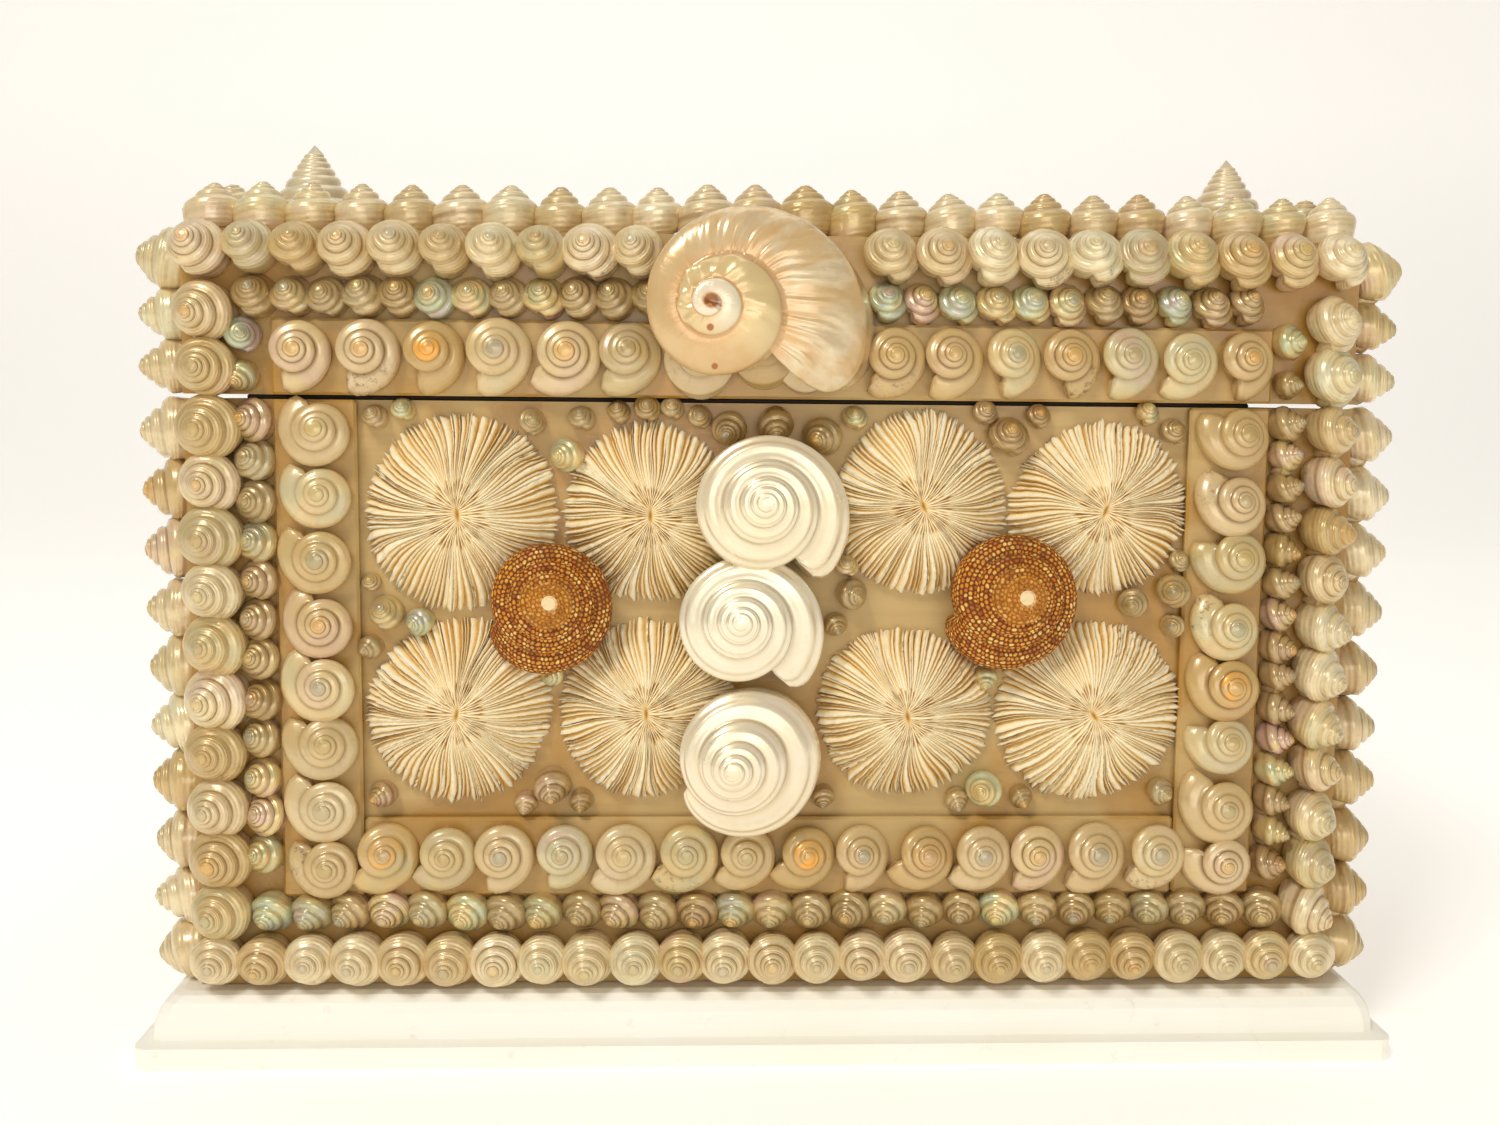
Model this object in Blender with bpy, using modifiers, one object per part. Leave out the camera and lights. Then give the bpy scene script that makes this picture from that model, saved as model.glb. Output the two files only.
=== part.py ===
"""A keepsake box covered in sea shells and mushroom corals, standing on a moulded plinth.

Metres, +Z up. The origin is the centre of the plinth's underside, and the decorated front faces -Y.
Every face of the box has its own frame: u runs to the right as seen from outside, v runs up
(or to the back on the lid's top) and n points out of the wood. Shells are modelled on +Z and set
on a face with that frame.
"""

import math

import bmesh
import bpy
from mathutils import Matrix, Vector

# Wooden box
BOX_WIDTH = 0.310
BOX_DEPTH = 0.205
BODY_HEIGHT = 0.1583
LID_HEIGHT = 0.0426
WALL = 0.008
FLOOR = 0.008
LID_BOARD = 0.008

# Slit between body and lid, part filled by two felt strips
RIM_GAP = 0.0012
FELT_WIDTH = 0.005
FELT_LENGTH = 0.236
FELT_SETBACK = 0.0015

# Gap that pieces glued to each other keep in this model
TOUCH = 0.0003

# Points closer than this are one point
WELD = 0.000002

# Plinth: an upright band, a small step and a quarter-round up to the box
PLINTH_HEIGHT = 0.018
PLINTH_OVERHANG = 0.0145
PLINTH_BAND = 0.006
PLINTH_STEP = 0.0036
PLINTH_STEP_RISE = 0.0008
PLINTH_ROUND_RUN = 0.0066
PLINTH_CORNER = 0.0035
PLINTH_ROUND_STEPS = 5

# Flat frame glued round the front panel; its top member sits on the lid
FRAME_MARGIN = 0.0234
FRAME_FOOT = 0.0252
FRAME_WIDTH = 0.0216
LID_FRAME_WIDTH = 0.0197
FRAME_THICKNESS = 0.0025
FRAME_EDGE = 0.0007

# Rim shells, the big ones along every edge of the box
RIM_PITCH = 0.0136
RIM_PITCH_BOTTOM = 0.0124
RIM_HALF = 0.0070
RIM_INSET = 0.0075
RIM_RISE = 0.0138
RIM_SIDES = 6
SIDE_PITCH = 0.0186

# Frame shells, the broad flat spirals on the frame
FRAME_SHELL_HALF = 0.0082
FRAME_SHELL_PITCH = 0.0162
FRAME_SHELL_RISE = 0.0088
FRAME_SHELL_SIDES = 8

# Mushroom corals. The panel is 4 cells wide and 2 high. A coral's place is given in cells, from the
# panel's middle and its lower edge, and its radius as a share of a cell
PANEL_COLUMNS = 4
PANEL_ROWS = 2
CORAL_RISE = 0.0105
CORAL_RIBS = 9
CORAL_RIB_DEPTH = 0.07
CORAL_MOUTH = 0.72
FRONT_CORALS = {
    "coral_upper_1": (-1.527, 1.475, 0.465),
    "coral_upper_2": (-0.618, 1.475, 0.432),
    "coral_upper_3": (0.682, 1.528, 0.436),
    "coral_upper_4": (1.558, 1.510, 0.432),
    "coral_lower_1": (-1.542, 0.527, 0.450),
    "coral_lower_2": (-0.636, 0.533, 0.436),
    "coral_lower_3": (0.627, 0.520, 0.427),
    "coral_lower_4": (1.536, 0.527, 0.456),
}
LID_CORALS = 3
LID_CORAL_RADIUS = 0.0255
LID_CORAL_PITCH = 0.064

# Three pearly turban shells down the middle of the panel: centre and radius as for the corals,
# height as a share of the width, and turn of the lip. The foot is a share of a cell too
PEARL_RISE = 0.0245
PEARL_LIFT = 0.0098
PEARL_FOOT_SHARE = 0.136
PEARL_GROWTH = 1.08
PEARL_SIDES = 12
PEARLS = {
    "pearl_shell_upper": (-0.022, 1.475, 0.344, 1.00, -60.0),
    "pearl_shell_middle": (-0.098, 0.909, 0.324, 0.60, -75.0),
    "pearl_shell_lower": (-0.067, 0.327, 0.358, 1.00, -110.0),
}

# Two speckled top shells, one near the middle of each group of four corals
SPECKLED_RISE = 0.0205
SPECKLED_LIFT = 0.0085
SPECKLED_RADIUS_SHARE = 0.295
SPECKLED_FOOT_SHARE = 0.118
SPECKLED_GROWTH = 1.10
SPECKLED_SIDES = 12
SPECKLED_LIP = 180.0
SPECKLED_OFFSET = (-0.015, 0.040)

# Large turban shell in the middle of the lid's front
TURBAN_CENTRE = (-0.0050, 0.0262)
TURBAN_RADIUS = 0.0252
TURBAN_RISE = 0.0235
TURBAN_LIP = -40.0
TURBAN_GROWTH = 1.22
TURBAN_CLEAR = 0.0015
TURBAN_SIDES = 16

# Four tall pointed shells on the lid's top
SPIRE_RADIUS = 0.0130
SPIRE_RISE = 0.0255
SPIRE_SIDES = 8

# Heights and half sizes that follow from the sizes above
BODY_Z = PLINTH_HEIGHT + TOUCH
LID_Z = BODY_Z + BODY_HEIGHT + RIM_GAP
TOP_Z = LID_Z + LID_HEIGHT
HALF_WIDTH = BOX_WIDTH / 2
HALF_DEPTH = BOX_DEPTH / 2
FRAME_TOP = TOUCH + FRAME_THICKNESS + TOUCH
FRAME_OUTER = HALF_WIDTH - FRAME_MARGIN
FRAME_INNER = FRAME_OUTER - FRAME_WIDTH
PANEL_BOTTOM = FRAME_FOOT + FRAME_WIDTH
CELL_U = 2 * FRAME_INNER / PANEL_COLUMNS
CELL_V = (BODY_HEIGHT - PANEL_BOTTOM) / PANEL_ROWS
CELL = min(CELL_U, CELL_V)


def clear_scene():
    for old in list(bpy.data.objects):
        bpy.data.objects.remove(old, do_unlink=True)


def new_collection(name):
    made = bpy.data.collections.new(name)
    bpy.context.scene.collection.children.link(made)
    return made


def material(name, colour, roughness):
    made = bpy.data.materials.new(name)
    made.use_nodes = True
    shader = made.node_tree.nodes["Principled BSDF"]
    shader.inputs["Base Color"].default_value = (*colour, 1.0)
    shader.inputs["Roughness"].default_value = roughness
    return made


def face_frame(right, up, origin):
    """Matrix whose columns are u, v, n and the face's origin."""
    out = right.cross(up)
    made = Matrix((right, up, out)).transposed().to_4x4()
    made.translation = origin
    return made


def upright_faces(base_z):
    """Frames of the four upright faces of a box part that stands at base_z, each from the face's foot."""
    x, y, z = Vector((1, 0, 0)), Vector((0, 1, 0)), Vector((0, 0, 1))
    return {
        "front": face_frame(x, z, (0, -HALF_DEPTH, base_z)),
        "back": face_frame(-x, z, (0, HALF_DEPTH, base_z)),
        "left": face_frame(-y, z, (-HALF_WIDTH, 0, base_z)),
        "right": face_frame(y, z, (HALF_WIDTH, 0, base_z)),
    }


def finish(bm, name, paint, collection):
    """Turns a bmesh into an object of the given collection, with its faces pointing out."""
    bmesh.ops.recalc_face_normals(bm, faces=bm.faces)
    mesh = bpy.data.meshes.new(name)
    bm.to_mesh(mesh)
    bm.free()
    made = bpy.data.objects.new(name, mesh)
    made.data.materials.append(paint)
    collection.objects.link(made)
    return made


def helper(obj):
    """Marks an object as a cutter that isn't part of the box."""
    obj.hide_render = True
    obj.display_type = "WIRE"
    return obj


def cut(obj, cutter):
    made = obj.modifiers.new("cut", "BOOLEAN")
    made.operation = "DIFFERENCE"
    made.object = helper(cutter)


def block(name, low, high, paint, collection):
    """A plain block between two corners."""
    low, high = Vector(low), Vector(high)
    bm = bmesh.new()
    bmesh.ops.create_cube(bm, size=1.0)
    bmesh.ops.scale(bm, vec=high - low, verts=bm.verts)
    bmesh.ops.translate(bm, vec=(low + high) / 2, verts=bm.verts)
    return finish(bm, name, paint, collection)


def turned(bm, profile, sides, place, turn=0.0, growth=1.0):
    """Spins a profile of (radius, height), foot to tip, round Z, closes the foot and sets it at place.

    A growth above 1 widens the shape as it goes round, clockwise as seen from the tip, so that the
    outline is a snail's spiral that ends in a step at its lip.
    """
    before = set(bm.verts)
    line = [bm.verts.new((radius, 0, height)) for radius, height in profile]
    edges = [bm.edges.new(pair) for pair in zip(line, line[1:])]
    bmesh.ops.spin(
        bm,
        geom=line + edges,
        cent=(0, 0, 0),
        axis=(0, 0, 1),
        angle=-2 * math.pi,
        steps=sides,
        use_merge=True,
    )
    made = [v for v in bm.verts if v not in before]
    bmesh.ops.remove_doubles(bm, verts=made, dist=WELD)
    made = [v for v in bm.verts if v not in before]
    bmesh.ops.holes_fill(bm, edges=[e for e in bm.edges if e.is_boundary])
    for vert in made:
        angle = (-math.atan2(vert.co.y, vert.co.x)) % (2 * math.pi)
        scale = growth ** (angle / (2 * math.pi) - 0.5)
        vert.co.x *= scale
        vert.co.y *= scale
    bmesh.ops.transform(bm, matrix=place @ Matrix.Rotation(turn, 4, "Z"), verts=made)
    return made


def rim_profile(radius):
    """Half outline of a rim shell: foot, belly, shoulder and tip."""
    return [
        (radius, 0),
        (radius, 0.26 * RIM_RISE),
        (0.72 * radius, 0.56 * RIM_RISE),
        (0, RIM_RISE),
    ]


def plain_rim_profile(radius):
    """The same shell without its shoulder, for the foot of the box and the sides that face away."""
    return [
        (radius, 0),
        (radius, 0.30 * RIM_RISE),
        (0, RIM_RISE),
    ]


def frame_shell_profile(radius):
    """Half outline of a broad flat snail shell."""
    return [
        (radius, 0),
        (radius, 0.36 * FRAME_SHELL_RISE),
        (0, FRAME_SHELL_RISE),
    ]


def run(along, low, high, across, pitch):
    """Shells side by side from low to high, as (u, v, half width along, turn of that width)."""
    count = max(2, round((high - low) / pitch))
    half = (high - low) / count / 2
    centres = [low + (2 * i + 1) * half for i in range(count)]
    if along == "u":
        return [(c, across, half, 0.0) for c in centres]
    return [(across, c, half, math.pi / 2) for c in centres]


def chain(name, face, places, profile, reach, sides, paint, parts):
    """Shells grown together flank to flank into one solid. Reach is a shell's half width across."""
    bm = bmesh.new()
    # A flat side, not a corner, faces the neighbours, and the flat sides lie at a radius of 1.
    corner = 1 / math.cos(math.pi / sides)
    widest = corner if sides % 4 else 1.0
    for u, v, half, turn in places:
        size = Matrix.Diagonal((half, reach / widest, 1, 1))
        place = face @ Matrix.Translation((u, v, TOUCH)) @ Matrix.Rotation(turn, 4, "Z") @ size
        turned(bm, profile(corner), sides, place, math.pi / sides)
    bmesh.ops.remove_doubles(bm, verts=bm.verts, dist=WELD)
    shared = [f for f in bm.faces if all(len(e.link_faces) > 2 for e in f.edges)]
    bmesh.ops.delete(bm, geom=shared, context="FACES")
    return finish(bm, name, paint, parts)


def rim_chain(name, face, places, paint, parts, profile=rim_profile):
    return chain(name, face, places, profile, RIM_HALF, RIM_SIDES, paint, parts)


def make_plinth(paint, parts):
    """The bottom outline is drawn up level by level and drawn in as the moulding asks."""
    half_x = HALF_WIDTH + PLINTH_OVERHANG
    half_y = HALF_DEPTH + PLINTH_OVERHANG
    round_foot = PLINTH_BAND + PLINTH_STEP_RISE
    round_rise = PLINTH_HEIGHT - round_foot
    levels = [(0.0, PLINTH_BAND), (PLINTH_STEP, round_foot)]
    for i in range(1, PLINTH_ROUND_STEPS + 1):
        angle = i / PLINTH_ROUND_STEPS * math.pi / 2
        inset = PLINTH_STEP + PLINTH_ROUND_RUN * (1 - math.cos(angle))
        levels.append((inset, round_foot + round_rise * math.sin(angle)))
    bm = bmesh.new()
    bmesh.ops.create_grid(bm, x_segments=1, y_segments=1, size=1.0)
    bmesh.ops.scale(bm, vec=(half_x, half_y, 1), verts=bm.verts)
    bmesh.ops.bevel(
        bm, geom=bm.verts[:], offset=PLINTH_CORNER, segments=2, affect="VERTICES", profile=0.5
    )
    top = bm.faces[:]
    inset_now = 0.0
    height_now = 0.0
    for inset, height in levels:
        grown = bmesh.ops.extrude_face_region(bm, geom=top)["geom"]
        if height_now > 0:
            bmesh.ops.delete(bm, geom=top, context="FACES_ONLY")
        top = [g for g in grown if isinstance(g, bmesh.types.BMFace)]
        verts = [g for g in grown if isinstance(g, bmesh.types.BMVert)]
        shrink = (
            (half_x - inset) / (half_x - inset_now),
            (half_y - inset) / (half_y - inset_now),
            1,
        )
        bmesh.ops.scale(bm, vec=shrink, verts=verts)
        bmesh.ops.translate(bm, vec=(0, 0, height - height_now), verts=verts)
        inset_now, height_now = inset, height
    return finish(bm, "plinth", paint, parts)


def make_box(paint, parts, helpers):
    """Body and lid, each a block with its hollow cut out, open towards each other."""
    inner_x = HALF_WIDTH - WALL
    inner_y = HALF_DEPTH - WALL
    body = block(
        "box_body",
        (-HALF_WIDTH, -HALF_DEPTH, BODY_Z),
        (HALF_WIDTH, HALF_DEPTH, BODY_Z + BODY_HEIGHT),
        paint,
        parts,
    )
    lid = block(
        "box_lid",
        (-HALF_WIDTH, -HALF_DEPTH, LID_Z),
        (HALF_WIDTH, HALF_DEPTH, TOP_Z),
        paint,
        parts,
    )
    body_hollow = block(
        "body_hollow",
        (-inner_x, -inner_y, BODY_Z + FLOOR),
        (inner_x, inner_y, LID_Z + WALL),
        paint,
        helpers,
    )
    lid_hollow = block(
        "lid_hollow",
        (-inner_x, -inner_y, LID_Z - WALL),
        (inner_x, inner_y, TOP_Z - LID_BOARD),
        paint,
        helpers,
    )
    cut(body, body_hollow)
    cut(lid, lid_hollow)


def make_felts(paint, parts):
    """Two dark strips on the body's rim, which the lid rests on."""
    low_z = BODY_Z + BODY_HEIGHT + TOUCH
    high_z = LID_Z - TOUCH
    outer = HALF_DEPTH - FELT_SETBACK
    inner = outer - FELT_WIDTH
    half = FELT_LENGTH / 2
    block("rim_felt_front", (-half, -outer, low_z), (half, -inner, high_z), paint, parts)
    block("rim_felt_back", (-half, inner, low_z), (half, outer, high_z), paint, parts)


def make_frame(paint, parts):
    """Three strips on the body's front and one on the lid's, with softened edges."""
    body = upright_faces(BODY_Z)["front"]
    lid = upright_faces(LID_Z)["front"]
    inner, outer = FRAME_INNER, FRAME_OUTER
    strips = {
        "frame_left": (body, -outer, -inner, FRAME_FOOT, BODY_HEIGHT),
        "frame_right": (body, inner, outer, FRAME_FOOT, BODY_HEIGHT),
        "frame_bottom": (body, TOUCH - inner, inner - TOUCH, FRAME_FOOT, PANEL_BOTTOM),
        "frame_lid": (lid, -outer, outer, 0.0, LID_FRAME_WIDTH),
    }
    for name, (face, u_low, u_high, v_low, v_high) in strips.items():
        low, high = (u_low, v_low, TOUCH), (u_high, v_high, TOUCH + FRAME_THICKNESS)
        strip = block(name, low, high, paint, parts)
        strip.matrix_world = face
        soften = strip.modifiers.new("soften", "BEVEL")
        soften.width = FRAME_EDGE
        soften.segments = 1


def make_body_rims(paint, parts):
    """On each upright face of the body, a row along the foot and a column up each side."""
    for side, face in upright_faces(BODY_Z).items():
        front = side == "front"
        half = HALF_WIDTH if side in ("front", "back") else HALF_DEPTH
        profile = rim_profile if front else plain_rim_profile
        row = run("u", -half, half, RIM_INSET, RIM_PITCH_BOTTOM if front else SIDE_PITCH)
        rim_chain(f"{side}_rim_bottom", face, row, paint, parts, plain_rim_profile)
        foot = RIM_INSET + RIM_HALF + TOUCH
        for end, across in (("left", RIM_INSET - half), ("right", half - RIM_INSET)):
            column = run("v", foot, BODY_HEIGHT, across, RIM_PITCH if front else SIDE_PITCH)
            rim_chain(f"{side}_rim_{end}", face, column, paint, parts, profile)


def turban_span():
    """Where the large turban shell begins and ends along the lid's front."""
    u = TURBAN_CENTRE[0]
    return u - TURBAN_RADIUS, u + TURBAN_RADIUS * math.sqrt(TURBAN_GROWTH)


def make_lid_rims(paint, parts):
    """A row along the lid's upper edge. On the front the large turban shell parts it, and a short
    column goes down at each end."""
    faces = upright_faces(LID_Z)
    row_v = LID_HEIGHT - RIM_INSET
    front = faces["front"]
    turban_left, turban_right = turban_span()
    left_row = run("u", -HALF_WIDTH, turban_left, row_v, RIM_PITCH)
    right_row = run("u", turban_right, HALF_WIDTH, row_v, RIM_PITCH)
    rim_chain("lid_front_rim_left", front, left_row, paint, parts)
    rim_chain("lid_front_rim_right", front, right_row, paint, parts)
    top = row_v - RIM_HALF - TOUCH
    for end, across in (("left", RIM_INSET - HALF_WIDTH), ("right", HALF_WIDTH - RIM_INSET)):
        column = run("v", 0.0, top, across, RIM_PITCH)
        rim_chain(f"lid_front_column_{end}", front, column, paint, parts)
    for side in ("back", "left", "right"):
        half = HALF_WIDTH if side == "back" else HALF_DEPTH
        row = run("u", -half, half, row_v, SIDE_PITCH)
        rim_chain(f"lid_{side}_rim", faces[side], row, paint, parts, plain_rim_profile)


def lid_top_frame():
    return face_frame(Vector((1, 0, 0)), Vector((0, 1, 0)), (0, 0, TOP_Z))


def make_top_rims(paint, parts):
    """A row along each edge of the lid's top. The front and back rows hold the corner shells."""
    face = lid_top_frame()
    end = HALF_DEPTH - 2 * RIM_HALF - TOUCH - (RIM_INSET - RIM_HALF)
    edge_u = HALF_WIDTH - RIM_INSET
    edge_v = HALF_DEPTH - RIM_INSET
    front = run("u", -HALF_WIDTH, HALF_WIDTH, -edge_v, RIM_PITCH)
    back = run("u", -HALF_WIDTH, HALF_WIDTH, edge_v, SIDE_PITCH)
    rim_chain("top_rim_front", face, front, paint, parts)
    rim_chain("top_rim_back", face, back, paint, parts, plain_rim_profile)
    for side, across in (("left", -edge_u), ("right", edge_u)):
        row = run("v", -end, end, across, SIDE_PITCH)
        rim_chain(f"top_rim_{side}", face, row, paint, parts, plain_rim_profile)


def make_frame_shells(paint, parts):
    """Flat spirals along the frame: two columns, a bottom row, and two rows on the lid."""
    body = upright_faces(BODY_Z)["front"] @ Matrix.Translation((0, 0, FRAME_TOP - TOUCH))
    lid = upright_faces(LID_Z)["front"] @ Matrix.Translation((0, 0, FRAME_TOP - TOUCH))
    outer, foot = FRAME_OUTER, FRAME_FOOT
    middle = FRAME_INNER + FRAME_WIDTH / 2
    row_end = middle - FRAME_SHELL_HALF - TOUCH
    turban_left, turban_right = turban_span()
    pitch = FRAME_SHELL_PITCH
    lid_v = LID_FRAME_WIDTH / 2
    groups = {
        "frame_shells_left": (body, run("v", foot, BODY_HEIGHT, -middle, pitch)),
        "frame_shells_right": (body, run("v", foot, BODY_HEIGHT, middle, pitch)),
        "frame_shells_bottom": (body, run("u", -row_end, row_end, foot + FRAME_WIDTH / 2, pitch)),
        "lid_shells_left": (lid, run("u", -outer, turban_left, lid_v, pitch)),
        "lid_shells_right": (lid, run("u", turban_right, outer, lid_v, pitch)),
    }
    shape = (frame_shell_profile, FRAME_SHELL_HALF, FRAME_SHELL_SIDES)
    for name, (face, places) in groups.items():
        chain(name, face, places, *shape, paint, parts)


def on_panel(across, up):
    """Turns a place in cells into u and v on the body's front."""
    return across * CELL_U, PANEL_BOTTOM + up * CELL_V


def make_coral(name, face, u, v, radius, paint, parts):
    """A fluted dome with a sunken mouth; every second spoke of the spin is drawn in to make a rib."""
    profile = [
        (0.90 * radius, 0),
        (radius, 0.22 * CORAL_RISE),
        (0.62 * radius, 0.86 * CORAL_RISE),
        (0.22 * radius, CORAL_RISE),
        (0, CORAL_MOUTH * CORAL_RISE),
    ]
    spokes = 2 * CORAL_RIBS
    bm = bmesh.new()
    verts = turned(bm, profile, spokes, Matrix.Identity(4))
    for vert in verts:
        spoke = round(math.atan2(vert.co.y, vert.co.x) / (2 * math.pi) * spokes)
        if spoke % 2 and vert.co.z > 0:
            vert.co.x *= 1 - CORAL_RIB_DEPTH
            vert.co.y *= 1 - CORAL_RIB_DEPTH
            vert.co.z *= 1 - CORAL_RIB_DEPTH
    bmesh.ops.transform(bm, matrix=face @ Matrix.Translation((u, v, TOUCH)), verts=verts)
    finish(bm, name, paint, parts)


def make_corals(paint, parts):
    front = upright_faces(BODY_Z)["front"]
    for name, (across, up, share) in FRONT_CORALS.items():
        u, v = on_panel(across, up)
        make_coral(name, front, u, v, share * CELL, paint, parts)
    top = lid_top_frame()
    for i in range(LID_CORALS):
        u = (i - (LID_CORALS - 1) / 2) * LID_CORAL_PITCH
        make_coral(f"coral_lid_{i + 1}", top, u, 0.0, LID_CORAL_RADIUS, paint, parts)


def snail_on_foot(radius, rise, foot, lift):
    """Half outline of a shell that stands on a narrow foot and spreads above its neighbours."""
    crown = rise - lift
    return [
        (foot, 0),
        (foot, 0.96 * lift),
        (0.90 * radius, lift),
        (radius, lift + 0.16 * crown),
        (0.84 * radius, lift + 0.42 * crown),
        (0.46 * radius, lift + 0.72 * crown),
        (0.14 * radius, lift + 0.95 * crown),
        (0, rise),
    ]


def make_snail(name, face, u, v, profile, sides, lip, growth, paint, parts, squash=1.0):
    bm = bmesh.new()
    place = face @ Matrix.Translation((u, v, TOUCH)) @ Matrix.Diagonal((1, squash, 1, 1))
    turned(bm, profile, sides, place, math.radians(lip), growth)
    return finish(bm, name, paint, parts)


def make_pearl_shells(paint, parts):
    face = upright_faces(BODY_Z)["front"]
    for name, (across, up, share, squash, lip) in PEARLS.items():
        u, v = on_panel(across, up)
        profile = snail_on_foot(share * CELL, PEARL_RISE, PEARL_FOOT_SHARE * CELL, PEARL_LIFT)
        shape = (profile, PEARL_SIDES, lip, PEARL_GROWTH)
        make_snail(name, face, u, v, *shape, paint, parts, squash)


def make_speckled_shells(paint, parts):
    """Each one stands over the meeting point of four corals."""
    face = upright_faces(BODY_Z)["front"]
    radius = SPECKLED_RADIUS_SHARE * CELL
    profile = snail_on_foot(radius, SPECKLED_RISE, SPECKLED_FOOT_SHARE * CELL, SPECKLED_LIFT)
    groups = {"speckled_shell_left": ("1", "2"), "speckled_shell_right": ("3", "4")}
    for name, columns in groups.items():
        around = [FRONT_CORALS[f"coral_{row}_{c}"] for row in ("upper", "lower") for c in columns]
        across = sum(coral[0] for coral in around) / len(around) + SPECKLED_OFFSET[0]
        up = sum(coral[1] for coral in around) / len(around) + SPECKLED_OFFSET[1]
        u, v = on_panel(across, up)
        shape = (profile, SPECKLED_SIDES, SPECKLED_LIP, SPECKLED_GROWTH)
        make_snail(name, face, u, v, *shape, paint, parts)


def make_turban(paint, parts):
    """The large shell on the lid's front, standing on the lid frame."""
    face = upright_faces(LID_Z)["front"] @ Matrix.Translation((0, 0, FRAME_TOP - TOUCH))
    radius = TURBAN_RADIUS - TURBAN_CLEAR
    profile = [
        (0.90 * radius, 0),
        (radius, 0.22 * TURBAN_RISE),
        (0.93 * radius, 0.42 * TURBAN_RISE),
        (0.70 * radius, 0.62 * TURBAN_RISE),
        (0.52 * radius, 0.74 * TURBAN_RISE),
        (0.24 * radius, 0.97 * TURBAN_RISE),
        (0, TURBAN_RISE),
    ]
    u, v = TURBAN_CENTRE
    shape = (profile, TURBAN_SIDES, TURBAN_LIP, TURBAN_GROWTH)
    make_snail("turban_shell", face, u, v, *shape, paint, parts)


def make_spires(paint, parts):
    """A tall pointed shell at each corner inside the lid top's rim, with a slight step at each whorl."""
    face = lid_top_frame()
    reach_u = HALF_WIDTH - 2 * RIM_INSET - SPIRE_RADIUS
    reach_v = HALF_DEPTH - 2 * RIM_INSET - SPIRE_RADIUS
    profile = [
        (0.92 * SPIRE_RADIUS, 0),
        (SPIRE_RADIUS, 0.10 * SPIRE_RISE),
        (0.66 * SPIRE_RADIUS, 0.40 * SPIRE_RISE),
        (0.34 * SPIRE_RADIUS, 0.70 * SPIRE_RISE),
        (0.10 * SPIRE_RADIUS, 0.97 * SPIRE_RISE),
        (0, SPIRE_RISE),
    ]
    for depth_name, v in (("front", -reach_v), ("back", reach_v)):
        for width_name, u in (("left", -reach_u), ("right", reach_u)):
            name = f"spire_{depth_name}_{width_name}"
            make_snail(name, face, u, v, profile, SPIRE_SIDES, 0.0, 1.0, paint, parts)


def main():
    clear_scene()
    parts = new_collection("shell_box")
    helpers = new_collection("helpers")
    white_paint = material("white_paint", (0.93, 0.90, 0.82), 0.55)
    ivory_paint = material("ivory_paint", (0.86, 0.77, 0.60), 0.50)
    felt = material("black_felt", (0.03, 0.025, 0.02), 0.95)
    cream_shell = material("cream_shell", (0.80, 0.68, 0.48), 0.32)
    nacre = material("nacre", (0.83, 0.74, 0.58), 0.22)
    coral = material("coral", (0.90, 0.82, 0.66), 0.80)
    pearl = material("pearl", (0.93, 0.89, 0.78), 0.15)
    speckled = material("speckled_orange", (0.62, 0.26, 0.06), 0.45)
    turban = material("peach_turban", (0.90, 0.70, 0.50), 0.28)
    make_plinth(white_paint, parts)
    make_box(ivory_paint, parts, helpers)
    make_felts(felt, parts)
    make_frame(ivory_paint, parts)
    make_body_rims(cream_shell, parts)
    make_lid_rims(cream_shell, parts)
    make_top_rims(cream_shell, parts)
    make_frame_shells(nacre, parts)
    make_corals(coral, parts)
    make_pearl_shells(pearl, parts)
    make_speckled_shells(speckled, parts)
    make_turban(turban, parts)
    make_spires(pearl, parts)


main()
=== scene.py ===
import math

import bpy
import numpy as np
from mathutils import Matrix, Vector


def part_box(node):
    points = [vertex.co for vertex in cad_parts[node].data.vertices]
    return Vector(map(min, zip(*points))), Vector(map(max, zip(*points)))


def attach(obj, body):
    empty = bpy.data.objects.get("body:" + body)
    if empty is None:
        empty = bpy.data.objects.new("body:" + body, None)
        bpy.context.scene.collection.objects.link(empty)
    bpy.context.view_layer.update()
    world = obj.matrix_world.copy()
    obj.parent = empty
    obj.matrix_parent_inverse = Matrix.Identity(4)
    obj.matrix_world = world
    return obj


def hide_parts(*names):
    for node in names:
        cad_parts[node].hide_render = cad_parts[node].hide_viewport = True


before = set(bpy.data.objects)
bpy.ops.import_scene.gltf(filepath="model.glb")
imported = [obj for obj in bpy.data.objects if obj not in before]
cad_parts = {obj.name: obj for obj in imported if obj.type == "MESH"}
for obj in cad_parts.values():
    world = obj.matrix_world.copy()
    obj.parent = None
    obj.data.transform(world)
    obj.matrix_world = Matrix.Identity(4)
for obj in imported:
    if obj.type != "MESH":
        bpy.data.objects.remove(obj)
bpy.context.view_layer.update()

dice = np.random.default_rng(1847)
print("frame loaded")

# Camera.

cameraView = {
    "place": (-0.0230, -0.5013, 0.1782),
    "turnRight": 2.32,  # degrees
    "lookDown": 6.28,
    "roll": 0.55,
    "lens": 36.0,  # mm
}
sensorWidth = 36.0  # mm
photoSize = (1500, 1125)  # pixels


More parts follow.
